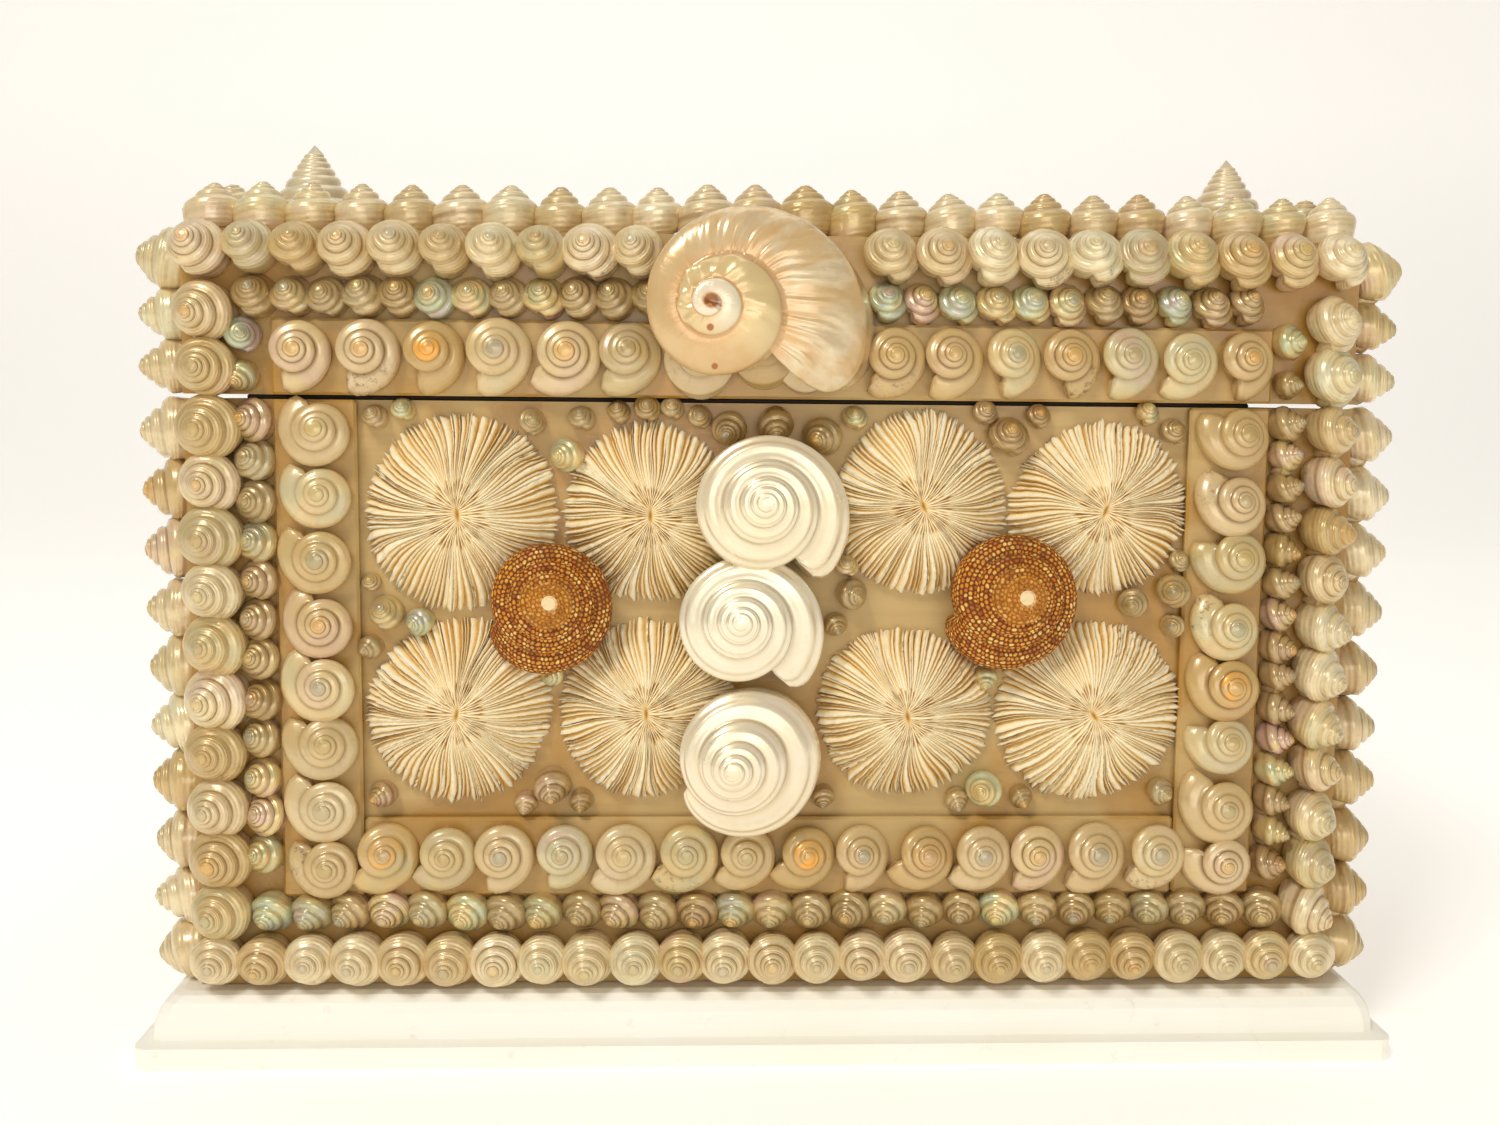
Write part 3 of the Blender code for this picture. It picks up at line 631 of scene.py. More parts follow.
def feltGapShadeStrip(node, left, right, material):
    # The dark felt strip in the slit under the lid, which also stands in for the shade in the gap: a box as
    # high as the slit, its sides softly bulged.
    low, high = (np.array(c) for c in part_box(node))
    count, ring = 61, 8
    x = np.linspace(left, right, count)
    turnAt = 2 * math.pi * (np.arange(ring) + 0.5) / ring
    halfY, halfZ = (high[1] - low[1]) / 2, (lidLow[2] - bodyHigh[2]) / 2
    y = (low[1] + high[1]) / 2 + halfY * np.clip(1.35 * np.cos(turnAt), -1, 1)
    z = (lidLow[2] + bodyHigh[2]) / 2 + halfZ * np.clip(1.35 * np.sin(turnAt), -1, 1)
    points = np.stack([np.repeat(x, ring), np.tile(y, count), np.tile(z, count)], -1)
    grid = np.arange(count * ring).reshape(count, ring)
    after = np.roll(grid, -1, axis=1)
    quads = np.stack([grid[:-1], grid[1:], after[1:], after[:-1]], -1).reshape(-1, 4)
    first, last = np.arange(1, ring - 1), np.arange(1, ring - 1) + (count - 1) * ring
    ends = np.concatenate([
        np.stack([np.zeros(ring - 2, int), first + 1, first], -1)[:, ::-1],
        np.stack([np.full(ring - 2, (count - 1) * ring), last + 1, last], -1),
    ])
    piece = makeMesh(node + "_strip", points, quads[:, ::-1], ends, material=material)
    stand(piece, "black_felt", node)


wood, satin, feltGapShade = woodFinish(), plinthFinish(), feltGapShadeFinish()
for node in ("box_body", "box_lid", "frame_left", "frame_right", "frame_bottom", "frame_lid"):
    dress(node, wood)
# Ends of the near-black felt, which paints the shade in the slit as far as they reach.
feltGapShadeEnds = {"rim_felt_front": (-0.139, 0.127), "rim_felt_back": (-0.118, 0.118)}
for node, (left, right) in feltGapShadeEnds.items():
    feltGapShadeStrip(node, left, right, feltGapShade)
dress("plinth", satin)
print("wood, plinth and felt dressed")

# Rows of shells.

rimStyle = {
    "turns": 5, "rows": 4, "columns": 26, "baseRows": 6, "growth": 1.55, "slope": 0.95,
    "undercut": 0.26, "tuckIn": 0.10, "belly": 0.42, "shut": 1.0, "shutFrom": 0.6, "tipDepth": 0.7,
    "dome": 1.28,
}
plainRimStyle = {**rimStyle, "turns": 4, "rows": 3, "columns": 18, "baseRows": 4}
frameStyle = {
    "turns": 4, "rows": 6, "columns": 32, "baseRows": 5, "growth": 1.65, "slope": 0.70,
    "undercut": 0.26, "tuckIn": 0.12, "belly": 0.40, "flare": 0.16, "shut": 0.85, "shutFrom": 0.07,
    "dome": 1.2,
}
smallStyle = {
    "turns": 5, "rows": 4, "columns": 20, "baseRows": 5, "growth": 1.52, "slope": 1.02, "dome": 1.15,
    "undercut": 0.20, "tuckIn": 0.12, "belly": 0.45, "shut": 1.0, "shutFrom": 0.6, "tipDepth": 0.7,
}


def evenly(low, high, count):
    # Centres of count equal stretches between low and high.
    return low + (np.arange(count) + 0.5) * (high - low) / count


rimRows = {
    # node: (face, shells, direction the tips lean to, tilt, style)
    "lid_front_rim_left": (lidFaces["front"], 10, 95, 27, rimStyle),
    "lid_front_rim_right": (lidFaces["front"], 10, 85, 25, rimStyle),
    "lid_front_column_left": (lidFaces["front"], 2, 185, 12, rimStyle),
    "lid_front_column_right": (lidFaces["front"], 2, 5, 27, rimStyle),
    "front_rim_left": (bodyFaces["front"], 10, 185, 12, rimStyle),
    "front_rim_right": (bodyFaces["front"], 11, -10, 30, rimStyle),
    "front_rim_bottom": (bodyFaces["front"], 25, 240, 6, rimStyle),
    "top_rim_front": (lidFaces["top"], 24, 90, 8, rimStyle),
    "top_rim_back": (lidFaces["top"], 21, 90, 8, plainRimStyle),
    "top_rim_left": (lidFaces["top"], 12, 180, 8, plainRimStyle),
    "top_rim_right": (lidFaces["top"], 12, 0, 8, plainRimStyle),
    "lid_back_rim": (lidFaces["back"], 21, 95, 10, plainRimStyle),
    "lid_left_rim": (lidFaces["left"], 14, 90, 10, plainRimStyle),
    "lid_right_rim": (lidFaces["right"], 14, 90, 10, plainRimStyle),
    "back_rim_bottom": (bodyFaces["back"], 21, 270, 10, plainRimStyle),
    "left_rim_bottom": (bodyFaces["left"], 14, 270, 10, plainRimStyle),
    "right_rim_bottom": (bodyFaces["right"], 14, 270, 10, plainRimStyle),
    "back_rim_left": (bodyFaces["back"], 9, 180, 10, plainRimStyle),
    "back_rim_right": (bodyFaces["back"], 9, 0, 10, plainRimStyle),
    "left_rim_left": (bodyFaces["left"], 9, 180, 10, plainRimStyle),
    "left_rim_right": (bodyFaces["left"], 9, 0, 10, plainRimStyle),
    "right_rim_left": (bodyFaces["right"], 9, 180, 10, plainRimStyle),
    "right_rim_right": (bodyFaces["right"], 9, 0, 10, plainRimStyle),
}
rimShell = {"widest": 0.0168, "lip": -110, "lipOnTop": 75}
rowLook = {"overlap": 1.17, "uneven": 0.07, "clearance": 0.003}  # width to pitch, then shares of height
# These rows stand a little above the middle of their solids. The upper ones hide the lid's edge.
rowLift = {"lid_front_rim_left": 0.0022, "lid_front_rim_right": 0.0022, "front_rim_bottom": 0.0009}
aboveTurban = {"middle": 11, "each": 1, "width": 1.12, "rise": 0.995, "others": 0.94}


def shellRow(node, face, count, lean, tilt, style, material, slot, widest, lip):
    # Shells side by side along the longer side of the solid that they replace, as high as it.
    low, high = spanOf(node, face)
    along = 0 if high[0] - low[0] > high[1] - low[1] else 1
    middle = (low + high) / 2
    at = evenly(low[along], high[along], count)
    pitch = (high[along] - low[along]) / count
    u = at if along == 0 else np.full(count, middle[0])
    v = at if along == 1 else np.full(count, middle[1])
    width = min(pitch * rowLook["overlap"], widest)
    v = v + rowLift.get(node, 0)
    uneven = rowLook["uneven"] * (1.0 if style is rimStyle else 0.5)
    rise = high[2] * (1 - rowLook["clearance"] - uneven * dice.random(count))
    if node == "top_rim_front":
        # Three larger shells stand above the large turban shell.
        larger = abs(np.arange(count) - aboveTurban["middle"]) <= aboveTurban["each"]
        width = np.where(larger, width * aboveTurban["width"], width)
        rise = np.where(larger, high[2] * aboveTurban["rise"], rise * aboveTurban["others"])
    batch = coilShells(style, face, u, v, width, rise, lean, tilt, lip)
    return coilPiece(node + "_shells", [batch], material, slot, [node])


for node, (face, count, lean, tilt, style) in rimRows.items():
    lip = rimShell["lipOnTop"] if face is lidFaces["top"] else rimShell["lip"]
    shellRow(node, face, count, lean, tilt, style, rimMaterial, "cream_shell", rimShell["widest"], lip)
print("rim shells made")

frameRows = {
    # node: (face, shells, lip direction)
    "lid_shells_left": (lidFaces["front"], 6, -130),
    "lid_shells_right": (lidFaces["front"], 7, -122),
    "frame_shells_left": (bodyFaces["front"], 8, 122),
    "frame_shells_right": (bodyFaces["front"], 8, 130),
    "frame_shells_bottom": (bodyFaces["front"], 14, -142),
}
frameShell = {"lean": 60, "tilt": 7, "widest": 0.0214}
for node, (face, count, lip) in frameRows.items():
    lean, tilt, widest = frameShell.values()
    shellRow(node, face, count, lean, tilt, frameStyle, frameShellMaterial, "nacre", widest, lip)
print("frame shells made")

# Small shells between the rows.

smallLip = -110
smallRows = {
    # name: (face, along, from, to, across, shells, width, rise, lean, tilt)
    "small_lid_left": (lidFaces["front"], "u", -0.1400, -0.0290, 0.0254, 12, 0.0112, 0.0090, 100, 25),
    "small_lid_right": (lidFaces["front"], "u", 0.0235, 0.1290, 0.0254, 11, 0.0112, 0.0090, 75, 27),
    "small_body_left": (bodyFaces["front"], "v", 0.0320, 0.1583, -0.1362, 12, 0.0114, 0.0088, 150, 22),
    "small_body_right": (bodyFaces["front"], "v", 0.0300, 0.1583, 0.1362, 15, 0.0104, 0.0092, 8, 40),
    "small_bottom": (bodyFaces["front"], "u", -0.1400, 0.1400, 0.0210, 27, 0.0118, 0.0088, 232, 24),
}
for name, (face, along, low, high, across, count, width, rise, lean, tilt) in smallRows.items():
    at = evenly(low, high, count)
    fixed = np.full(count, across)
    u, v = (at, fixed) if along == "u" else (fixed, at)
    batch = coilShells(smallStyle, face, u, v, width, rise, lean, tilt, smallLip)
    coilPiece(name, [batch], smallMaterial, "nacre")
print("small shells made")

# Scattered shells on the panel and the lid's ends.


def photoSpot(pixel, depth):
    # Where the line of sight through a pixel of the photo meets the plane at that depth.
    camera = bpy.context.scene.camera.matrix_world.to_3x3()
    focal = photoSize[0] * cameraView["lens"] / sensorWidth
    middle = photoSize[0] / 2, photoSize[1] / 2
    ray = np.array(camera) @ np.array([pixel[0] - middle[0], middle[1] - pixel[1], -focal])
    start = np.array(cameraView["place"])
    return start + ray * (depth - start[1]) / ray[1]


scattered = {
    # pixel x, pixel y, radius in pixels, direction of the tip
    "lid_ends": [(240, 335, 17, 40), (240, 375, 16, 250), (1290, 343, 17, 0), (1290, 385, 15, 0)],
    "panel": [
        (374, 418, 13, 90), (400, 411, 12, 90), (532, 421, 14, 60), (582, 420, 13, 90),
        (566, 455, 18, 200), (617, 412, 12, 90), (647, 408, 13, 90), (672, 409, 12, 90),
        (700, 418, 12, 90), (729, 429, 17, 230), (776, 424, 18, 260), (822, 437, 19, 200),
        (855, 419, 13, 90), (986, 412, 13, 90), (1010, 437, 20, 100), (1041, 417, 12, 90),
        (1149, 413, 13, 90), (1175, 431, 13, 60), (370, 583, 9, 90), (385, 615, 17, 90),
        (417, 623, 14, 170), (369, 648, 13, 190), (382, 795, 14, 180), (552, 788, 19, 300),
        (526, 806, 12, 270), (580, 803, 12, 270), (551, 676, 12, 200), (848, 566, 12, 90),
        (852, 595, 16, 0), (838, 625, 12, 300), (824, 799, 12, 270), (1182, 563, 12, 90),
        (1175, 591, 18, 180), (1136, 604, 15, 200), (1175, 628, 13, 180), (988, 679, 13, 250),
        (986, 789, 20, 180), (957, 803, 13, 270), (1022, 800, 12, 270), (1162, 794, 14, 0),
    ],
}
pixelWidth = 0.404 / photoSize[0]  # metres of the front a pixel spans
scatteredShell = {"heightToWidth": 0.92, "tilt": 27, "lip": -100, "aboveFace": 0.004}


def scatterPiece(name, spots, face):
    spots = np.array(spots, float)
    tilt, lip = scatteredShell["tilt"], scatteredShell["lip"]
    depth = face["origin"][1] - scatteredShell["aboveFace"]
    ground = np.array([photoSpot(s[:2], depth) for s in spots])
    u = (ground - face["origin"]) @ face["u"]
    v = (ground - face["origin"]) @ face["v"]
    width = spots[:, 2] * 2 * pixelWidth
    rise = width * scatteredShell["heightToWidth"]
    batch = coilShells(smallStyle, face, u, v, width, rise, spots[:, 3], tilt, lip)
    coilPiece(name, [batch], smallMaterial, "nacre")


scatterPiece("small_lid_ends", scattered["lid_ends"], lidFaces["front"])
scatterPiece("small_panel", scattered["panel"], bodyFaces["front"])
print("scattered shells made")

# Side columns of the lid that no solid stands for.

columnShells = {
    "rise": {"left": 0.0136, "right": 0.0136, "back": 0.0132}, "count": 2, "height": 0.0278,
    "fromEnd": 0.0075, "width": 0.0146, "tilt": 12,
}
lidColumns = []
for side, rise in columnShells["rise"].items():
    face = lidFaces[side]
    count, width, tilt = (columnShells[key] for key in ("count", "width", "tilt"))
    v = evenly(0.0, columnShells["height"], count)
    for end, lean in ((-1, 180), (1, 0)):
        u = np.full(count, end * (face["half"] - columnShells["fromEnd"]))
        lip = rimShell["lip"]
        lidColumns.append(coilShells(plainRimStyle, face, u, v, width, rise, lean, tilt, lip))
coilPiece("lid_side_columns", lidColumns, rimMaterial, "cream_shell")

# Mushroom corals.

coralLook = {
    "septa": 120, "samples": 4, "rows": 30, "edgeRows": 4, "slit": 0.06, "groove": 0.0031,
    "thick": 0.0142, "teeth": 10.0, "rim": 0.20, "mouth": 0.16, "spread": 1.04,
    # spacing and first plate of each family, where its plates begin, and their height
    "families": ((4, 0, 0.0, 1.0), (4, 2, 0.07, 0.94), (2, 1, 0.22, 0.84)),
}


def coralMesh(name, node, face, look, slitTurn):
    # Polar grid. The dome's height falls with a power of the radius. Thin plates stand on it, a
    # little thicker outwards, in three families. The finer ones start further out, each plate is cut
    # into teeth along its crest, and the highest plate at a point wins. Sines of the angle bend the
    # plates and the outline, and the inner rings close on a short slit.
    low, high = spanOf(node, face)
    size = (high[0] - low[0]) / 2 * look["spread"]
    rise = high[2]
    centre = (low + high) / 2
    septa = look["septa"]
    columns = septa * look["samples"]
    rows, edge = look["rows"], look["edgeRows"]
    p = np.concatenate([np.linspace(0.03, 1, rows), np.ones(edge)])[None, :]
    below = np.concatenate([np.zeros(rows), np.arange(1, edge + 1) / edge])[None, :]
    index = np.arange(columns)
    plate = index // look["samples"]
    place = index / look["samples"]
    chance = dice.random((septa, 6))
    blade, crest = np.zeros((columns, rows + edge)), np.zeros((columns, rows + edge))
    for spacing, first, begins, tall in look["families"]:
        nearest = np.round((place - first) / spacing) * spacing + first
        own = chance[nearest.astype(int) % septa]
        away = np.abs(place - nearest)[:, None] * 2 * math.pi / septa * p
        thick = look["thick"] * (0.75 + 0.5 * own[:, :1]) * (0.55 + 0.50 * p)
        across = np.exp(-((away / thick) ** 2.2))
        start = begins * (0.7 + 0.6 * own[:, 3:4])
        grown = smooth(start, start + 0.10, p + (0.08 if begins == 0 else 0))
        saw = np.abs(np.sin(math.pi * (look["teeth"] * p + own[:, 1:2] * 3)))
        fine = np.abs(np.sin(math.pi * (look["teeth"] * 2.3 * p + own[:, 2:3] * 5)))
        height = tall * (0.80 + 0.20 * own[:, 4:5]) * (1 - 0.20 * (1 - saw) - 0.12 * (1 - fine))
        blade = np.maximum(blade, across * grown * height)
        crest = np.maximum(crest, across * grown)
    own = chance[plate]
    dome = rise * (1 - (1 - look["rim"]) * p ** 2.3)
    dome = dome - rise * look["mouth"] * np.exp(-((p / 0.10) ** 2))
    lift = look["groove"] * (0.45 + 0.55 * smooth(0.0, 0.5, p))
    z = dome - lift * (1 - blade)
    z = z * (1 - below ** 1.5) - 0.0008 * below
    turnAt = 2 * math.pi * index[:, None] / columns
    waves = own[0, :6] * 2 * math.pi
    bend = 0.030 * np.sin(5 * turnAt + waves[0]) + 0.018 * np.sin(11 * turnAt + waves[1])
    bend = bend + 0.010 * np.sin(23 * turnAt + waves[2])
    curve = 0.20 * np.sin(3 * turnAt + waves[3] + 1.6 * p)
    curve = curve + 0.07 * np.sin(7 * turnAt + waves[4] + 3 * p)
    sway = (own[:, 4:5] - 0.5) * 1.3 * smooth(0.15, 0.9, p) * 2 * math.pi / septa
    phi = turnAt + bend + curve * p * (1.1 - p) * 1.6 + sway
    spike = 0.035 * (own[:, 5:6] - 0.5) + 0.018 * np.sin(40 * p + own[:, 1:2] * 30)
    reach = 1 + spike * smooth(0.55, 1, p)
    reach = reach - (1 - crest) * 0.05 * smooth(0.6, 1, p) - 0.02 * below
    slit = look["slit"] * (1 - p) ** 2
    radius = p * reach
    squareness = 1 + 0.025 * np.cos(2 * phi + waves[5]) + 0.015 * np.cos(3 * phi + waves[0])
    x = radius * np.cos(phi) * squareness
    y = (radius + slit) * np.sin(phi) * squareness
    c, s = math.cos(math.radians(slitTurn)), math.sin(math.radians(slitTurn))
    u = centre[0] + size * (c * x - s * y)
    v = centre[1] + size * (s * x + c * y)
    full = face["origin"] + u[..., None] * face["u"] + v[..., None] * face["v"] + z[..., None] * face["n"]
    height = rows + edge
    flat = full.reshape(-1, 3)
    grid = np.arange(columns * height).reshape(columns, height)
    nextColumn = np.roll(grid, -1, axis=0)
    quads = np.stack([grid[:, :-1], grid[:, 1:], nextColumn[:, 1:], nextColumn[:, :-1]], -1).reshape(-1, 4)
    mouth = len(flat)
    base = mouth + 1
    inner, outer = grid[:, 0], grid[:, -1]
    tris = np.concatenate([
        np.stack([inner, np.roll(inner, -1), np.full(columns, mouth)], -1),
        np.stack([np.roll(outer, -1), outer, np.full(columns, base)], -1),
    ])
    points = np.concatenate([flat, [flat[inner].mean(0) - face["n"] * 0.0006], [flat[outer].mean(0)]])
    # Painted shade for the colour: deep between the plates, deepest in the central slit, and a little more
    # on the edge rows that turn down to the wood.
    grooveShade = (1 - crest) * (0.98 - 0.20 * smooth(0.1, 0.9, p)) + 0.40 * np.exp(-((p / 0.045) ** 2))
    depth = np.concatenate([((1 - grooveShade) * (1 - 0.3 * below)).ravel(), [0, 0]])
    piece = makeMesh(name, points, quads, tris, None, {"crest": depth}, None, coralMaterial)
    stand(piece, "coral", node)


def coralFinish():
    # Chalky cream on the crests and painted shade in the grooves and the slit, honey brown by the crest
    # attribute, with a grainy height and a paler bloom in patches.
    made, tree, shader = newMaterial("coral")
    here = objectPlace(tree)
    crest = add(tree, "Attribute", attribute_name="crest").outputs["Fac"]
    grain = noise(tree, here, 1500.0, 3.0, 0.7)
    patch = noise(tree, here, 55.0, 2.0)
    level = maths(tree, "ADD", crest, maths(tree, "MULTIPLY", maths(tree, "SUBTRACT", grain, 0.5), 0.35))
    level = maths(tree, "ADD", level, maths(tree, "MULTIPLY", maths(tree, "SUBTRACT", patch, 0.5), 0.3))
    base = ramp(tree, level, [
        (0.05, (0.42, 0.195, 0.035)), (0.40, (0.69, 0.44, 0.135)), (0.70, (0.93, 0.74, 0.40)),
        (0.95, (0.98, 0.90, 0.67)),
    ])
    tree.links.new(base, shader.inputs["Base Color"])
    tree.links.new(remap(tree, grain, 0.3, 0.7, 0.72, 0.9), shader.inputs["Roughness"])
    shader.inputs["Specular IOR Level"].default_value = 0.15
    bump = add(tree, "Bump", {"Height": grain, "Strength": 0.35, "Distance": 0.0003})
    tree.links.new(bump.outputs["Normal"], shader.inputs["Normal"])
    return made


coralMaterial = coralFinish()
coralSlits = {
    "coral_upper_1": 8, "coral_upper_2": 0, "coral_upper_3": 25, "coral_upper_4": -20,
    "coral_lower_1": -10, "coral_lower_2": 2, "coral_lower_3": 12, "coral_lower_4": 35,
}
for node, slitTurn in coralSlits.items():
    coralMesh(node + "_plates", node, bodyFaces["front"], coralLook, slitTurn)
lidCoralLook = {**coralLook, "rows": 22, "septa": 88, "thick": 0.0180}
for number in (1, 2, 3):
    node = f"coral_lid_{number}"
    coralMesh(node + "_plates", node, lidFaces["top"], lidCoralLook, 40 * number)
print("corals made")

# Pearly turban shells, spires, speckled shells and the large turban.


def pearlRidges(coil, band, under, turns):
    # Fine cords along the coil: cosines across the band, fading in the seam and below the edge.
    cords = np.cos(2 * math.pi * 3 * band) * np.sin(math.pi * np.clip(band, 0, 1))
    return 0.018 * cords * (1 - under)


def tipSpot(pixel, face, height):
    # The u and v of a tip that shows at that pixel of the photo and stands that high.
    depth = face["origin"][1] - height
    seen = photoSpot(pixel, depth) - face["origin"]
    return [[seen @ face["u"], seen @ face["v"]]]


showFit = {"clearance": 0.0002, "middleHeight": 0.35}  # metres, and a share of the shell's height


def showPiece(name, node, face, style, material, slot, lip, width=None, tip=None, middle=None):
    # One shell in the room of its solid, its tip and its middle where the photo shows them.
    low, high = spanOf(node, face)
    rise = high[2] - showFit["clearance"]
    width = width or max(high[0] - low[0], high[1] - low[1])
    outwards = rise * showFit["middleHeight"]
    centre = [(low + high)[:2] / 2] if middle is None else tipSpot(middle, face, outwards)
    tip = None if tip is None else tipSpot(tip, face, rise)
    u, v = [centre[0][0]], [centre[0][1]]
    batch = coilShells(style, face, u, v, width, rise, 90, 2, lip, 0.0, tip)
    return coilPiece(name, [batch], material, slot, [node])


pearlStyle = {
    "turns": 5, "rows": 14, "columns": 84, "baseRows": 8, "growth": 1.58, "slope": 0.62,
    "undercut": 0.16, "tuckIn": 0.10, "belly": 0.32, "sink": 0.0, "relief": pearlRidges,
    "floor": 0.0004, "dome": 1.12,
}
pearls = {
    # node: (lip direction, slope, how far the lip closes and from where, width, pixels of tip and middle)
    "pearl_shell_upper": (-56, 0.52, 0.85, 0.05, 0.0402, (767, 503), (772, 516)),
    "pearl_shell_middle": (-56, 0.66, 0.85, 0.05, 0.0380, (741, 623), (755, 629)),
    "pearl_shell_lower": (-152, 0.86, 0.95, 0.30, 0.0403, (732, 775), (761, 755)),
}
for node, (lip, slope, shut, shutFrom, width, tip, middle) in pearls.items():
    style = {**pearlStyle, "slope": slope, "shut": shut, "shutFrom": shutFrom}
    face = bodyFaces["front"]
    showPiece(node + "_coil", node, face, style, pearlMaterial, "pearl", lip, width, tip, middle)

spireStyle = {
    "turns": 7, "rows": 6, "columns": 36, "baseRows": 3, "growth": 1.30, "slope": 2.0,
    "undercut": 0.36, "tuckIn": 0.15, "belly": 0.25, "shut": 1.0, "shutFrom": 0.4,
}
for depth in ("front", "back"):
    for side in ("left", "right"):
        node = f"spire_{depth}_{side}"
        showPiece(node + "_coil", node, lidFaces["top"], spireStyle, spireMaterial, "pearl", 0)


speckledStyle = {
    "turns": 7, "rows": 12, "columns": 120, "baseRows": 14, "growth": 1.43, "slope": 0.90,
    "undercut": 0.06, "tuckIn": 0.15, "belly": 0.50, "shut": 0.97, "shutFrom": 0.20,
    "sink": 0.0, "floor": 0.0004, "dome": 1.1,
}
beadSize = {"along": 84.0, "rows": 5.6}  # beads round the last turn, and rows across it


def beadCords(coil, band, under, turns):
    # One raised cosine for each row of beads, as many rows as the turn has room for.
    scale = speckledStyle["growth"] ** (coil - turns + 1)
    rows = np.where(under > 0, band + 1.3 * under, band) * beadSize["rows"] * scale
    return 0.010 * (0.5 - 0.5 * np.cos(2 * math.pi * rows)) / scale


speckledStyle["relief"] = beadCords


def speckledFinish():
    # Beads of one size by the spiral map. The rows count band times growth to the power of the turn,
    # and the beads along a row count the same power, so both keep their size as the turns widen.
    # Each cell is amber, rust or cream by a hashed number, and the gaps between are dark brown.
    made, tree, shader = newMaterial("speckled_shell")
    coil = add(tree, "SeparateXYZ", {"Vector": add(tree, "UVMap", uv_map="coil").outputs["UV"]})
    growth = speckledStyle["growth"]
    power = maths(tree, "SUBTRACT", coil.outputs["X"], float(speckledStyle["turns"] - 1))
    scale = maths(tree, "POWER", growth, power)
    row = maths(tree, "MULTIPLY", maths(tree, "MULTIPLY", coil.outputs["Y"], beadSize["rows"]), scale)
    shake = noise(tree, objectPlace(tree), 330.0, 2.0)
    row = maths(tree, "ADD", row, maths(tree, "MULTIPLY", shake, 0.7))
    rowCell = maths(tree, "FLOOR", row)
    along = maths(tree, "MULTIPLY", scale, beadSize["along"] / math.log(growth) / growth)
    along = maths(tree, "ADD", along, maths(tree, "MULTIPLY", rowCell, 0.37))
    along = maths(tree, "ADD", along, maths(tree, "MULTIPLY", shake, 1.6))
    cell = add(tree, "CombineXYZ", {"X": maths(tree, "FLOOR", along), "Y": rowCell}).outputs["Vector"]
    pick = add(tree, "TexWhiteNoise", {"Vector": cell}, noise_dimensions="3D").outputs["Value"]
    beadColour = ramp(tree, pick, [
        (0.0, (0.56, 0.17, 0.010)), (0.42, (0.72, 0.28, 0.024)), (0.66, (0.84, 0.42, 0.07)),
        (0.84, (0.98, 0.62, 0.18)), (0.88, (0.56, 0.15, 0.010)), (1.0, (0.30, 0.07, 0.005)),
    ])
    dAlong = maths(tree, "SUBTRACT", maths(tree, "FRACT", along), 0.5)
    dAcross = maths(tree, "SUBTRACT", maths(tree, "FRACT", row), 0.5)
    squares = maths(tree, "ADD", maths(tree, "POWER", dAlong, 2.0), maths(tree, "POWER", dAcross, 2.0))
    far = maths(tree, "SQRT", squares)
    gap = remap(tree, far, 0.26, 0.54)
    base = blendColour(tree, gap, beadColour, (0.15, 0.034, 0.003))
    patches = noise(tree, objectPlace(tree), 160.0, 2.0)
    base = blendColour(tree, remap(tree, patches, 0.50, 0.68, 0.0, 0.60), base, (0.22, 0.055, 0.006))
    plain = remap(tree, coil.outputs["X"], 3.4, 4.9, 1.0, 0.0)
    base = blendColour(tree, maths(tree, "MULTIPLY", plain, 0.6), base, (0.62, 0.24, 0.02))
    worn = remap(tree, coil.outputs["X"], 0.0, 1.1, 1.0, 0.0)
    base = blendColour(tree, worn, base, (0.86, 0.68, 0.38))
    tree.links.new(base, shader.inputs["Base Color"])
    tree.links.new(remap(tree, gap, 0.0, 1.0, 0.38, 0.65), shader.inputs["Roughness"])
    shader.inputs["Specular IOR Level"].default_value = 0.35
    height = maths(tree, "MULTIPLY", maths(tree, "SUBTRACT", 1.0, gap), maths(tree, "SUBTRACT", 1.0, worn))
    bump = add(tree, "Bump", {"Height": height, "Strength": 0.8, "Distance": 0.0005})
    tree.links.new(bump.outputs["Normal"], shader.inputs["Normal"])
    return made


speckled = speckledFinish()
speckledShells = {
    # node: (lip direction, width, pixels of the tip and of the middle)
    "speckled_shell_left": (200, 0.0345, (549, 604), (546, 611)),
    "speckled_shell_right": (200, 0.0362, (1029, 599), (1002, 603)),
}
for node, (lip, width, tip, middle) in speckledShells.items():
    face = bodyFaces["front"]
    slot = "speckled_orange"
    showPiece(node + "_coil", node, face, speckledStyle, speckled, slot, lip, width, tip, middle)


def turbanRelief(coil, band, under, turns):
    # Last turn: crowded growth wrinkles, a sum of sines along the coil that bend as they cross it.
    # The turn before it: lumps and dents by a product of broader sines, strongest on its right.
    edge = np.clip(np.sin(math.pi * np.clip(band, 0, 1)), 0, 1) ** 0.3 * (1 - under * 0.5)
    late = smooth(turns - 0.55, turns - 0.28, coil)
    slant = coil - 0.07 * band ** 1.5 + 0.006 * np.sin(9 * band + 23 * coil)
    wrinkle = (
        0.9 * np.sin(2 * math.pi * 47 * slant + 2 * np.sin(5 * band))
        + 0.9 * np.sin(2 * math.pi * 71.3 * slant + 3.5 * band)
        + 1.1 * np.sin(2 * math.pi * 17.2 * slant + 2 * band)
    )
    old = smooth(turns - 1.90, turns - 1.70, coil) * (1 - smooth(turns - 1.15, turns - 1.0, coil))
    lumps = np.sin(2 * math.pi * 5.3 * coil + 2.5 * band) * np.cos(3.6 * band + 2.4 * coil)
    lumps = lumps + 0.35 * np.sin(2 * math.pi * 13.1 * coil - 4 * band)
    return edge * late * 0.0036 * wrinkle + old * edge * 0.026 * lumps


